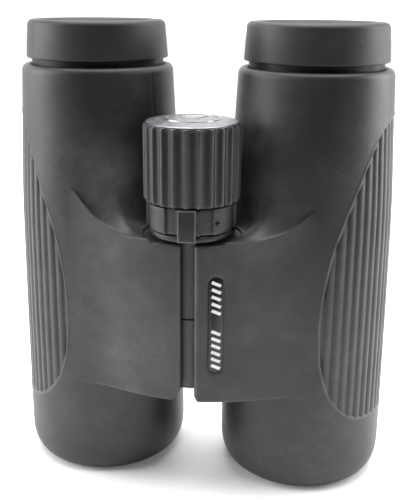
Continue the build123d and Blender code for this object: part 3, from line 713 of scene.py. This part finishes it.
    def press_relief(self):
        """Press the ribbed grip and the mould seam into the barrel, and note where highlight is painted on
        the grip and on the plates' edges.
        """
        shape = self.z.shape
        relief, self.rub_and_highlight = np.zeros(shape), np.zeros(shape)
        outer = np.sin(self.turn) < -0.1
        around = np.broadcast_to(self.turn[outer], relief[:, outer].shape)
        relief[:, outer], self.rub_and_highlight[:, outer] = grip_relief(around, self.z[:, outer])
        self.rub_and_highlight = np.maximum(self.rub_and_highlight, self.edge_highlight())
        off_seam = np.broadcast_to(self.turn, shape) - radians(SEAM_AZIMUTH[self.side])
        seam = np.exp(-((off_seam * 25 / 0.32) ** 2)) * smooth_step(self.z, 98, 104)
        self.radius = np.minimum(barrel_radius(self.z) + relief - 0.18 * seam, RIM_R)

    def edge_highlight(self):
        """How much highlight is painted on the plate's upright front edge and its upper and lower front
        edges.
        """
        u, v = self.target.T
        upright = np.hypot(u - self.reach + PLATE_EDGE[self.side] + 0.25, v - PLATE_TIP + 0.25)
        on_plate = (self.z > self.floor - 0.2) & (self.z < self.crown + 0.1)
        upright = np.exp(-((upright / 0.75) ** 2)) * on_plate
        upper = np.exp(-(((self.z - self.crown + 0.15) / 0.35) ** 2))
        lower = np.exp(-(((self.z - self.floor - 0.2) / 0.4) ** 2))
        # The right plate's upright edge gets the stronger painted highlight.
        amount = {LEFT: 0.5, RIGHT: 1.0}[self.side]
        highlight_marks = np.maximum(upright * amount, (upper + 0.7 * lower) * 0.6)
        return np.where((self.swell > 4) & (v > 26), highlight_marks, 0.0)

    def bend_to_plate(self):
        """Move each point from the barrel towards its plan point by its share of the swell."""
        flat = self.swell == 0
        share = np.where(flat, 0.0, self.stand_off / np.where(flat, 1.0, self.swell))
        slack = (self.radius - PLATE_FOOT_R) * (1 - smooth_step(self.swell, 0, 6))
        self.u, self.v = (
            self.radius * self.base[:, axis] * (1 - share)
            + (self.target[:, axis] + slack * self.base[:, axis]) * share
            for axis in (0, 1)
        )

    def add_lining(self):
        """Inner wall, from the top lip down to the hood in front of the objective."""
        inner = [(LIP_R + 0.35, 131.8), (LIP_R, 131.55), (LIP_R, LIP_LOW), (21.6, LIP_LOW)]
        inner += [(float(barrel_radius(np.array(z))) - SKIN, z) for z in (128.0, 110.0, 95.0, 62.0, 24.0)]
        inner += [(RIM_R - SKIN, HOOD_TOP), (HOOD_R, HOOD_TOP)]
        inner += [(HOOD_R, 0.4), (HOOD_R + 0.12, 0.1), (HOOD_R + 0.4, 0.0)]
        radius, height = (plain(part, self.columns) for part in zip(*inner))
        self.rub_and_highlight = np.concatenate([self.rub_and_highlight, np.zeros(radius.shape)])
        self.u = np.concatenate([self.u, radius * self.base[:, 0]])
        self.v = np.concatenate([self.v, radius * self.base[:, 1]])
        self.z = np.concatenate([self.z, height])
        if self.side == RIGHT:
            self.v = label_recess(self.u, self.v, self.z)

    def form(self):
        """A spun ring with a corner for each row, its points moved to their places."""
        corners = [(1.0 + 0.001 * (row == 0), float(row)) for row in range(len(self.z))]
        form = spun(corners, (0, 0), self.columns)
        axis = AXES[self.side]
        # Layer that carries the painted highlight to the rubber's material.
        highlight_marks = form.verts.layers.float.new("rub_and_highlight")
        for vert in form.verts:
            spot = round(vert.co.z), round(atan2(vert.co.y, vert.co.x) / tau * self.columns) % self.columns
            vert[highlight_marks] = self.rub_and_highlight[spot]
            vert.co = (axis.x - self.side * self.u[spot], axis.y - self.v[spot], self.z[spot])
        bmesh.ops.recalc_face_normals(form, faces=form.faces)
        return form


def pill_gap(across, z, half_width, low, high):
    """Distance outside an upright pill, negative inside it."""
    straight = np.clip(z, low + half_width, high - half_width)
    return np.hypot(across, z - straight) - half_width


def label_recess(u, v, z):
    """Let the right plate's front in, where the label sits."""
    across = AXES[RIGHT].x - u - LABEL_X
    gap = pill_gap(across, z, LABEL_WIDTH / 2, LABEL_LOW, LABEL_HIGH)
    return v - 0.45 * (1 - smooth_step(gap, -0.1, 0.35)) * (v > 32)


# ------------------------------------------------------------------ settings
class ARMOUR_PG_settings(bpy.types.PropertyGroup):
    """Finish of the rubber."""

    color: bpy.props.FloatVectorProperty(
        name="Rubber", description="Colour of the armour", subtype="COLOR", size=3,
        default=(0.0125, 0.0128, 0.0126), min=0.0, max=1.0,
    )
    dust: bpy.props.FloatVectorProperty(
        name="Bloom", description="Colour of the chalky bloom on the rubber", subtype="COLOR",
        size=3, default=(0.12, 0.122, 0.12), min=0.0, max=1.0,
    )
    roughness: bpy.props.FloatProperty(
        name="Roughness", description="Roughness of clean rubber", default=0.42,
        min=0.0, max=1.0, subtype="FACTOR",
    )


class KNOB_PG_settings(bpy.types.PropertyGroup):
    """Shape of the focus knob and the diopter ring."""

    ridge_radius: bpy.props.FloatProperty(
        name="Ridge radius", description="Radius over the knob's ridges, in millimetres",
        default=14.28, min=10.0, max=20.0,
    )
    flutes: bpy.props.IntProperty(
        name="Flutes", description="Flutes round the knob", default=24, min=8, max=48
    )
    flute_depth: bpy.props.FloatProperty(
        name="Flute depth", description="Depth of a flute, in millimetres",
        default=0.9, min=0.1, max=2.0,
    )
    cap_color: bpy.props.FloatVectorProperty(
        name="Cap", description="Colour of the metal cap", subtype="COLOR", size=3,
        default=(0.25, 0.255, 0.27), min=0.0, max=1.0,
    )


class STAGE_PG_settings(bpy.types.PropertyGroup):
    """Camera and light."""

    lens: bpy.props.FloatProperty(
        name="Lens", description="Focal length on a 36 mm sensor, in millimetres",
        default=56.745, min=10.0, max=200.0,
    )
    eye: bpy.props.FloatVectorProperty(
        name="Eye", description="Where the camera stands", subtype="TRANSLATION", size=3,
        default=(0.036858, -0.240709, 0.15201),
    )
    yaw: bpy.props.FloatProperty(name="Yaw", description="Turn of the camera to the right of +Y",
                                 subtype="ANGLE", default=-0.148)
    pitch: bpy.props.FloatProperty(name="Pitch", description="Tilt of the camera below level",
                                   subtype="ANGLE", default=0.312)
    roll: bpy.props.FloatProperty(name="Roll", description="Roll of the camera",
                                  subtype="ANGLE", default=0.008)
    sky: bpy.props.FloatProperty(name="Sky", description="Strength of the surrounding light",
                                 default=1.0, min=0.0, max=10.0)


# ------------------------------------------------------------------ operators
def rubber_spots():
    """Places that hands and dust have marked: a point and a radius in millimetres, and how much."""
    return [
        ((-18, -17, 93), 12.0, 0.7), ((19, -18, 91), 11.0, 0.6), ((14, -11, 117), 11.0, 0.6),
        ((-24, -21, 104), 9.0, 0.22), ((-20, -28, 62), 22.0, 0.24), ((-14, -30, 40), 12.0, 0.2),
        ((-34, -22, 22), 18.0, 0.14),
    ]


class BINOCULAR_OT_armour(bpy.types.Operator):
    """Rubber armour of both barrels, with the bridge plates and the ribbed grips"""

    bl_idname = "binocular.armour"
    bl_label = "Armour"

    def execute(self, context):
        look = context.scene.armour_look
        rubber = moulded_rubber(
            "armour_rubber", tuple(look.color), tuple(look.dust), 0.85, look.roughness, rubber_spots(), 0.7
        )
        for side, name in SIDES:
            piece = finish_piece(
                f"{name}_armour_skin", ArmourShape(side).form(), f"{name}_barrel",
                [rubber], [f"{name}_armour"],
            )
            crease(piece, 62)
        return {"FINISHED"}


class BINOCULAR_OT_eyecups(bpy.types.Operator):
    """Rubber eyecups with a rolled rim and fine baffle rings inside"""

    bl_idname = "binocular.eyecups"
    bl_label = "Eyecups"

    def execute(self, context):
        look = context.scene.armour_look
        rubber = moulded_rubber(
            "eyecup_rubber", tuple(c * 0.85 for c in look.color), tuple(look.dust), 0.4, 0.5
        )
        for side, name in SIDES:
            low, high = (corner[2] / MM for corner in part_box(f"{name}_eyecup_rubber"))
            outline = [
                (20.42, low + 0.25, 0), (20.6, low, 0.1), (21.95, low, 0.45), (21.22, high - 0.9, 0.9),
                (20.2, high, 1.1), (17.6, high, 0.9), (16.1, high - 1.4, 0.5),
            ]
            for ring in range(4):
                z = high - 1.9 - 0.32 * ring
                outline += [(16.0, z, 0), (16.22, z - 0.16, 0)]
            outline += [(16.0, high - 3.15, 0.1), (18.9, high - 3.2, 0.1), (18.95, high - 1.62, 0),
                        (20.42, high - 1.62, 0)]
            form = spun(rounded(outline, 5), AXES[side], 160)
            piece = finish_piece(
                f"{name}_eyecup_skin", form, f"{name}_eyecup",
                [rubber], [f"{name}_eyecup_rubber"],
            )
            crease(piece, 50)
        return {"FINISHED"}


def hinge_turn(point):
    """Azimuth of a point about the hinge, 0 straight ahead and plus to the right."""
    return atan2(point[0] - HINGE.x, -(point[1] - HINGE.y))


def sink(form, relief):
    """Move each outer point of a ring towards the hinge axis by relief(azimuth, z, radius)."""
    for vert in form.verts:
        across, deep = vert.co.x - HINGE.x, vert.co.y - HINGE.y
        radius = hypot(across, deep)
        drop = relief(hinge_turn(vert.co), vert.co.z, radius)
        vert.co.x -= across / radius * drop
        vert.co.y -= deep / radius * drop


class BINOCULAR_OT_focus_knob(bpy.types.Operator):
    """Fluted focus knob with its domed metal cap"""

    bl_idname = "binocular.focus_knob"
    bl_label = "Focus knob"

    def execute(self, context):
        look = context.scene.armour_look
        knob = context.scene.knob_look
        low, high = (corner[2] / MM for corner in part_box("knob_grip"))
        rubber = moulded_rubber(
            "knob_rubber", tuple(c * 0.45 for c in look.color), tuple(look.dust), 0.35, 0.4, (), 0.42
        )
        ridge = knob.ridge_radius
        corners = [(12.3, low), (ridge - 0.5, low), (ridge - 0.2, low + 0.12), (ridge, low + 0.45)]
        corners += [(ridge, z) for z in np.linspace(low + 1.2, high - 1.0, 44)]
        corners += [(ridge - 0.05, high - 0.5), (ridge - 0.2, high - 0.2), (ridge - 0.4, high - 0.05),
                    (ridge - 0.6, high), (KNOB_SEAT_R, high), (KNOB_SEAT_R, high - 0.5), (12.3, high - 0.5)]
        form = spun(corners, HINGE, knob.flutes * 14)
        pitch = tau / knob.flutes
        first = radians(FLUTE_AZIMUTH)
        stand_off = FLUTE_R - knob.flute_depth

        def flute(azimuth, z, radius):
            if radius < KNOB_SEAT_R:
                return 0.0
            across = (((azimuth - first) / pitch + 0.5) % 1.0 - 0.5) * pitch * ridge
            gap = hypot(across, max(0.0, z - high + 1.0))
            deep = sqrt(max(0.0, FLUTE_R**2 - gap**2)) - stand_off
            return max(0.0, deep) * (radius - KNOB_SEAT_R) / (ridge - KNOB_SEAT_R)

        # Painted highlight on the ridges between the flutes, stored on the mesh for the rubber's material.
        highlight_marks = form.verts.layers.float.new("rub_and_highlight")
        for vert in form.verts:
            radius = hypot(vert.co.x - HINGE.x, vert.co.y - HINGE.y)
            drop = flute(hinge_turn(vert.co), min(vert.co.z, high - 2.5), radius)
            vert[highlight_marks] = float(1 - smooth_step(drop, 0.0, 0.2)) if radius > KNOB_SEAT_R + 0.2 else 0.0
        sink(form, flute)
        bmesh.ops.recalc_face_normals(form, faces=form.faces)
        grip = finish_piece("knob_grip_skin", form, "focus_knob", [rubber], ["knob_grip"])
        crease(grip, 55)
        metal = turned_metal("cap_silver", tuple(knob.cap_color), 0.44)
        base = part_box("knob_cap")[0][2] / MM
        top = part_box("knob_cap")[1][2] / MM
        dome = [(0.0, base), (12.2, base), (12.2, high - 0.1), (13.35, high), (13.42, high + 0.3)]
        dome += [(13.25 - 0.25 * t, high + 0.45 + 0.08 * t) for t in (0.0, 1.0)]
        for r in (12.4, 11.4, 10.0, 8.4, 6.6, 4.8, 3.0, 1.4, 0.0):
            dome.append((r, high + 0.5 + (top - high - 0.5) * (1 - (r / DOME_R) ** 2)))
        form = turned(dome, HINGE, 128)
        piece = finish_piece("knob_cap_disc", form, "focus_knob", [metal], ["knob_cap"])
        crease(piece, 40)
        self.emblem(turned_metal("emblem_silver", (0.55, 0.55, 0.56), 0.3), top, top - high - 0.5)
        return {"FINISHED"}

    def emblem(self, metal, top, crown):
        """Plain raised ring and three bars, pressed into the cap; crown is the dome's height."""
        seat = top - crown * (EMBLEM_R / DOME_R) ** 2
        crest = seat + EMBLEM_RAISED
        outline = [(-0.3, seat - 0.2), (0.3, seat - 0.2), (0.15, crest), (-0.15, crest)]
        form = spun([(EMBLEM_R + step, z) for step, z in outline], HINGE, 96)
        for index in range(3):
            forward = 2.4 * (1 - index)
            verts = bmesh.ops.create_cube(form, size=1.0)["verts"]
            bmesh.ops.scale(form, vec=(8.4 - 1.6 * index, 1.1, 0.5), verts=verts)
            level = top - crown * (forward / DOME_R) ** 2 - 0.14
            bmesh.ops.translate(form, vec=(HINGE.x, HINGE.y + forward, level), verts=verts)
            edges = list({edge for vert in verts for edge in vert.link_edges})
            bevel(form, edges, 0.12, 2)
        piece = finish_piece("knob_emblem", form, "focus_knob", [metal])
        crease(piece, 40)


class BINOCULAR_OT_diopter(bpy.types.Operator):
    """Diopter ring, its collar and the index tab in front of it"""

    bl_idname = "binocular.diopter"
    bl_label = "Diopter ring"

    def execute(self, context):
        plastic = moulded_plastic("ring_plastic", (0.016, 0.0165, 0.017), 0.46, 0.2)
        dark = moulded_plastic("collar_plastic", (0.014, 0.0145, 0.015), 0.44, 0.2)
        self.ring(plastic)
        self.collar(dark)
        # The index tab's edges get a lighter plastic: a painted highlight.
        self.tab(dark, moulded_plastic("tab_edge_highlight", (0.07, 0.07, 0.069), 0.4, 0.2))
        return {"FINISHED"}

    def ring(self, plastic):
        low, high = (corner[2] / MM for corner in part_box("diopter_ring"))
        corners = [(9.05, low), (RING_R - 0.35, low), (RING_R - 0.1, low + 0.1), (RING_R, low + 0.4)]
        corners += [(RING_R, z) for z in np.linspace(low + 1.0, high - 1.0, 12)]
        corners += [(RING_R, high - 0.4), (RING_R - 0.1, high - 0.1), (RING_R - 0.35, high), (9.05, high)]
        form = spun(corners, HINGE, 432)
        pitch = tau / RING_LANDS
        first = radians(RING_AZIMUTH)

        def flute(azimuth, z, radius):
            if radius < 12:
                return 0.0
            across = abs(((azimuth - first) / pitch + 0.5) % 1.0 - 0.5) * pitch
            return GROOVE_DEPTH * (1 - float(smooth_step(across, radians(6.2), radians(8.4))))

        sink(form, flute)
        bmesh.ops.recalc_face_normals(form, faces=form.faces)
        piece = finish_piece("diopter_ring_skin", form, "diopter_dial",
                             [plastic], ["diopter_ring"])
        crease(piece, 40)
        mark = dark_print("dark_print")
        for name, azimuth in SIGNS:
            self.sign(name, azimuth, (low + high) / 2 - 0.4, mark)

    def sign(self, name, azimuth, z, mark):
        """Small plus or minus on a land of the ring."""
        bars = [(1.8, 0.12, 0.42)]
        if name == "diopter_plus":
            bars.append((0.42, 0.12, 1.8))
        form = bmesh.new()
        for size in bars:
            verts = bmesh.ops.create_cube(form, size=1.0)["verts"]
            bmesh.ops.scale(form, vec=size, verts=verts)
        turn = Matrix.Rotation(radians(azimuth), 4, "Z")
        land = Matrix.Translation((0, 0.03 - RING_R, 0))
        place = Matrix.Translation((HINGE.x, HINGE.y, z)) @ turn @ land
        bmesh.ops.transform(form, matrix=place, verts=form.verts)
        finish_piece(name, form, "diopter_dial", [mark], smooth=False)

    def collar(self, dark):
        low, high = (corner[2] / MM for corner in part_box("hinge_collar"))
        outline = rounded([
            (9.0, low, 0), (10.5, low, 0.1), (12.9, low + 0.9, 0.3), (12.9, high - 0.45, 0.35),
            (12.3, high, 0.25), (11.9, high - 0.25, 0.1), (9.0, high - 0.25, 0),
        ])
        piece = finish_piece("collar_skin", spun(outline, HINGE, 160), "left_barrel",
                             [dark], ["hinge_collar"])
        crease(piece, 45)

    def tab(self, dark, painted_highlight):
        """Bevelled block: a cube whose foot is drawn back to the collar; its bevelled rim takes a lighter
        plastic as a painted highlight.
        """
        low, high = (corner[2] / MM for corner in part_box("index_tab"))
        foot_top = low + 1.0
        form = bmesh.new()
        bmesh.ops.create_cube(form, size=1.0)
        bmesh.ops.scale(form, vec=(TAB_WIDTH, TAB_THICK, high - low), verts=form.verts)
        bmesh.ops.translate(form, vec=(0, TAB_THICK / 2 - TAB_FRONT, (low + high) / 2), verts=form.verts)
        bmesh.ops.bisect_plane(
            form, geom=form.verts[:] + form.edges[:] + form.faces[:],
            plane_co=(0, 0, foot_top), plane_no=(0, 0, 1),
        )
        back = [f for f in form.faces if f.normal.y > 0.9 and f.calc_center_median().z < foot_top]
        lengthened(form, back, (0, TAB_FOOT_DEPTH, 0))
        bmesh.ops.delete(form, geom=back, context="FACES")
        bmesh.ops.remove_doubles(form, verts=form.verts, dist=SAME_POINT)
        bmesh.ops.recalc_face_normals(form, faces=form.faces)
        rim = [
            e for e in form.edges
            if all(v.co.y < 0.1 - TAB_FRONT for v in e.verts) and e.calc_face_angle(0) > 0.5
        ]
        # Painted highlight: the bevel's faces take the lighter second material.
        bevel(form, rim, 0.5, 3, material=1)
        turn = Matrix.Translation((HINGE.x, HINGE.y, 0)) @ Matrix.Rotation(radians(TAB_AZIMUTH), 4, "Z")
        bmesh.ops.transform(form, matrix=turn, verts=form.verts)
        piece = finish_piece(
            "index_tab_block", form, "left_barrel", [dark, painted_highlight], ["index_tab"]
        )
        crease(piece, 35)


class BINOCULAR_OT_label(bpy.types.Operator):
    """Pill-shaped inlay with two rows of plain slanted ticks"""

    bl_idname = "binocular.label"
    bl_label = "Label"

    def execute(self, context):
        black = moulded_plastic("label_black", (0.008, 0.008, 0.009), 0.3, 0.15)
        white = white_print("label_marks")
        form = self.pill(LABEL_WIDTH / 2 - 0.12, 0.35)
        inlay = finish_piece("label_pill", form, "right_barrel", [black], ["rating_label"])
        crease(inlay, 40)
        marks = bmesh.new()
        step = (LABEL_HIGH - LABEL_LOW - 3.8) / 12
        for index in (*range(6), *range(8, 13)):
            verts = bmesh.ops.create_cube(marks, size=1.0)["verts"]
            bmesh.ops.scale(marks, vec=(2.9, 0.95, 0.06), verts=verts)
            slant = Matrix.Rotation(radians(-24), 4, "Z")
            place = Matrix.Translation((0, (index - 6) * step, 0.37)) @ slant
            bmesh.ops.transform(marks, matrix=place, verts=verts)
        bmesh.ops.transform(marks, matrix=self.face(), verts=marks.verts)
        finish_piece("label_print", marks, "right_barrel", [white], smooth=False)
        return {"FINISHED"}

    def face(self):
        """From the label's own plane, x across and y up, to the right plate."""
        low, high = (Vector(corner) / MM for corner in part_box("rating_label"))
        spot = (low + high) / 2
        tilt = Matrix.Rotation(radians(LABEL_TILT), 4, "Z")
        upright = Matrix.Rotation(pi / 2, 4, "X")
        lift = Matrix.Translation((0, -0.02, 0))
        return Matrix.Translation(spot) @ tilt @ lift @ upright

    def pill(self, radius, thickness):
        """Two half circles drawn apart, joined up and thickened."""
        form = bmesh.new()
        bmesh.ops.create_circle(form, cap_ends=True, segments=48, radius=radius)
        half = (LABEL_HIGH - LABEL_LOW) / 2 - 0.12 - radius
        for vert in form.verts:
            vert.co.y += half if vert.co.y > 1e-6 else -half if vert.co.y < -1e-6 else 0
        bmesh.ops.delete(form, geom=[v for v in form.verts if abs(v.co.y) < 1e-6], context="VERTS")
        bmesh.ops.contextual_create(form, geom=form.verts[:] + form.edges[:])
        return self.thicken(form, thickness)

    def thicken(self, form, thickness):
        """Give a flat face its thickness and a rounded rim, and put it on the plate."""
        lengthened(form, form.faces[:], (0, 0, thickness))
        bmesh.ops.recalc_face_normals(form, faces=form.faces)
        rim = [e for e in form.edges if all(v.co.z > thickness - 1e-4 for v in e.verts)]
        rim = [e for e in rim if e.calc_face_angle(0) > 0.5]
        bevel(form, rim, 0.12, 2)
        bmesh.ops.transform(form, matrix=self.face(), verts=form.verts)
        return form


class BINOCULAR_OT_frame_finishes(bpy.types.Operator):
    """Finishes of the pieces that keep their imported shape"""

    bl_idname = "binocular.frame_finishes"
    bl_label = "Frame finishes"

    def execute(self, context):
        alloy = moulded_plastic("hinge_grey", (0.05, 0.052, 0.055), 0.45, 0.4)
        black = blackened_metal("black_anodised", 0.012)
        steel = turned_metal("steel", (0.5, 0.5, 0.51), 0.34)
        brass = turned_metal("brass", (0.72, 0.5, 0.2), 0.32)
        bearing = moulded_plastic("bearing_plastic", (0.02, 0.02, 0.02), 0.5, 0.2)
        hard = moulded_plastic("hard_black", (0.018, 0.018, 0.019), 0.45, 0.25)
        seal = moulded_rubber("seal_rubber", (0.012, 0.012, 0.012), (0.08, 0.08, 0.08), 0.3, 0.45)
        outer = coated_glass("outer_glass", (0.9, 0.97, 0.93), (0.55, 0.95, 0.7))
        # Near-black finish for the eyecup sleeve: painted shade in the gap under the eyecup.
        shade = blackened_metal("sleeve_painted_shade", 0.003)
        prism = coated_glass("prism_glass", (0.93, 0.95, 1.0), (0.8, 0.85, 1.0))
        finishes = {
            "alloy": alloy, "black_alloy": black, "steel": steel, "brass": brass,
            "bearing_plastic": bearing, "hard_plastic": hard, "seal_rubber": seal,
            "lens_glass": outer,
        }
        for part in FRAME["record"]["subparts"]:
            node, slot = part["node"], part["material_slot"]
            if slot not in finishes:
                continue
            material = prism if "prism" in node and slot == "lens_glass" else finishes[slot]
            material = shade if node.endswith("eyecup_sleeve") else material
            mesh = FRAME["nodes"][node].data
            mesh.materials.clear()
            mesh.materials.append(material)
        return {"FINISHED"}


OPENING_AZIMUTH = radians(18)
FLOOR_HALF = 3.0            # metres, as the lamps' places and sizes are
LAMPS = (                   # name, place, height it is aimed at, side of its square, watts
    ("top_softbox", (0.0, 0.1, 0.9), 0.05, 0.9, 13.0),
    ("left_softbox", (-0.62, -0.12, 0.28), 0.07, 0.45, 3.5),
    ("right_softbox", (0.62, 0.2, 0.28), 0.07, 0.5, 4.0),
)


class BINOCULAR_OT_stage(bpy.types.Operator):
    """Pale floor, soft surrounding light and the camera"""

    bl_idname = "binocular.stage"
    bl_label = "Stage"

    def execute(self, context):
        look = context.scene.stage_look
        self.floor()
        self.sky(context.scene, look.sky)
        for lamp in LAMPS:
            self.lamp(*lamp)
        self.camera(context.scene, look)
        context.scene.view_settings.view_transform = "Standard"
        return {"FINISHED"}

    def camera(self, scene, look):
        camera = bpy.data.cameras.new("camera")
        camera.lens = look.lens
        camera.sensor_width = 36.0
        camera.clip_start = 0.01
        ahead = Vector((sin(look.yaw) * cos(look.pitch), cos(look.yaw) * cos(look.pitch), -sin(look.pitch)))
        level = Vector((cos(look.yaw), -sin(look.yaw), 0))
        upright = level.cross(ahead)
        right = level * cos(look.roll) + upright * sin(look.roll)
        above = upright * cos(look.roll) - level * sin(look.roll)
        turn = Matrix((right, above, -ahead)).transposed().to_4x4()
        holder = bpy.data.objects.new("camera", camera)
        holder.matrix_world = Matrix.Translation(look.eye) @ turn
        scene.collection.objects.link(holder)
        scene.camera = holder

    def floor(self):
        form = bmesh.new()
        bmesh.ops.create_grid(form, x_segments=8, y_segments=8, size=FLOOR_HALF)
        mesh = bpy.data.meshes.new("floor")
        form.to_mesh(mesh)
        form.free()
        mesh.transform(Matrix.Translation((0, 0, TABLE_TOP - 0.0002)))
        mesh.materials.append(pale_floor("floor_paper"))
        floor = bpy.data.objects.new("floor", mesh)
        bpy.context.scene.collection.objects.link(floor)

    def sky(self, scene, strength):
        """Bright tent with a dark opening behind and a little right of the camera."""
        world = bpy.data.worlds.new("tent")
        world.use_nodes = True
        tree = world.node_tree
        background = tree.nodes["Background"]
        place = tree.nodes.new("ShaderNodeTexCoord")
        away = tree.nodes.new("ShaderNodeVectorMath")
        away.operation = "DOT_PRODUCT"
        away.inputs[1].default_value = (-sin(OPENING_AZIMUTH), cos(OPENING_AZIMUTH), 0.0)
        ramp = tree.nodes.new("ShaderNodeMapRange")
        ramp.interpolation_type = "SMOOTHSTEP"
        for index, value in enumerate((-0.95, 1.0, 0.03, 1.7), start=1):
            ramp.inputs[index].default_value = value
        tree.links.new(place.outputs["Generated"], away.inputs[0])
        tree.links.new(away.outputs["Value"], ramp.inputs[0])
        tree.links.new(ramp.outputs[0], background.inputs["Color"])
        background.inputs["Strength"].default_value = strength
        scene.world = world

    def lamp(self, name, place, aim_height, size, power):
        light = bpy.data.lights.new(name, "AREA")
        light.shape = "SQUARE"
        light.size = size
        light.energy = power
        holder = bpy.data.objects.new(name, light)
        holder.location = place
        beam = Vector((0, 0, aim_height)) - Vector(place)
        holder.rotation_euler = beam.to_track_quat("-Z", "Y").to_euler()
        bpy.context.scene.collection.objects.link(holder)


class BINOCULAR_PT_workshop(bpy.types.Panel):
    """The binoculars' sizes, colours and pieces"""

    bl_idname = "BINOCULAR_PT_workshop"
    bl_label = "Binoculars"
    bl_space_type = "VIEW_3D"
    bl_region_type = "UI"
    bl_category = "Binoculars"

    def draw(self, context):
        scene = context.scene
        for group in (scene.armour_look, scene.knob_look, scene.stage_look):
            box = self.layout.box()
            for name in group.__annotations__:
                box.prop(group, name)
        for piece in PIECES:
            self.layout.operator(piece.bl_idname)


PIECES = (
    BINOCULAR_OT_stage,
    BINOCULAR_OT_armour,
    BINOCULAR_OT_eyecups,
    BINOCULAR_OT_focus_knob,
    BINOCULAR_OT_diopter,
    BINOCULAR_OT_label,
    BINOCULAR_OT_frame_finishes,
)
CLASSES = (ARMOUR_PG_settings, KNOB_PG_settings, STAGE_PG_settings, *PIECES, BINOCULAR_PT_workshop)


def register():
    for cls in CLASSES:
        bpy.utils.register_class(cls)
    bpy.types.Scene.armour_look = bpy.props.PointerProperty(type=ARMOUR_PG_settings)
    bpy.types.Scene.knob_look = bpy.props.PointerProperty(type=KNOB_PG_settings)
    bpy.types.Scene.stage_look = bpy.props.PointerProperty(type=STAGE_PG_settings)


def unregister():
    del bpy.types.Scene.armour_look
    del bpy.types.Scene.knob_look
    del bpy.types.Scene.stage_look
    for cls in reversed(CLASSES):
        bpy.utils.unregister_class(cls)


def main():
    register()
    for piece in PIECES:
        group, name = piece.bl_idname.split(".")
        getattr(getattr(bpy.ops, group), name)()


if __name__ == "__main__":
    main()
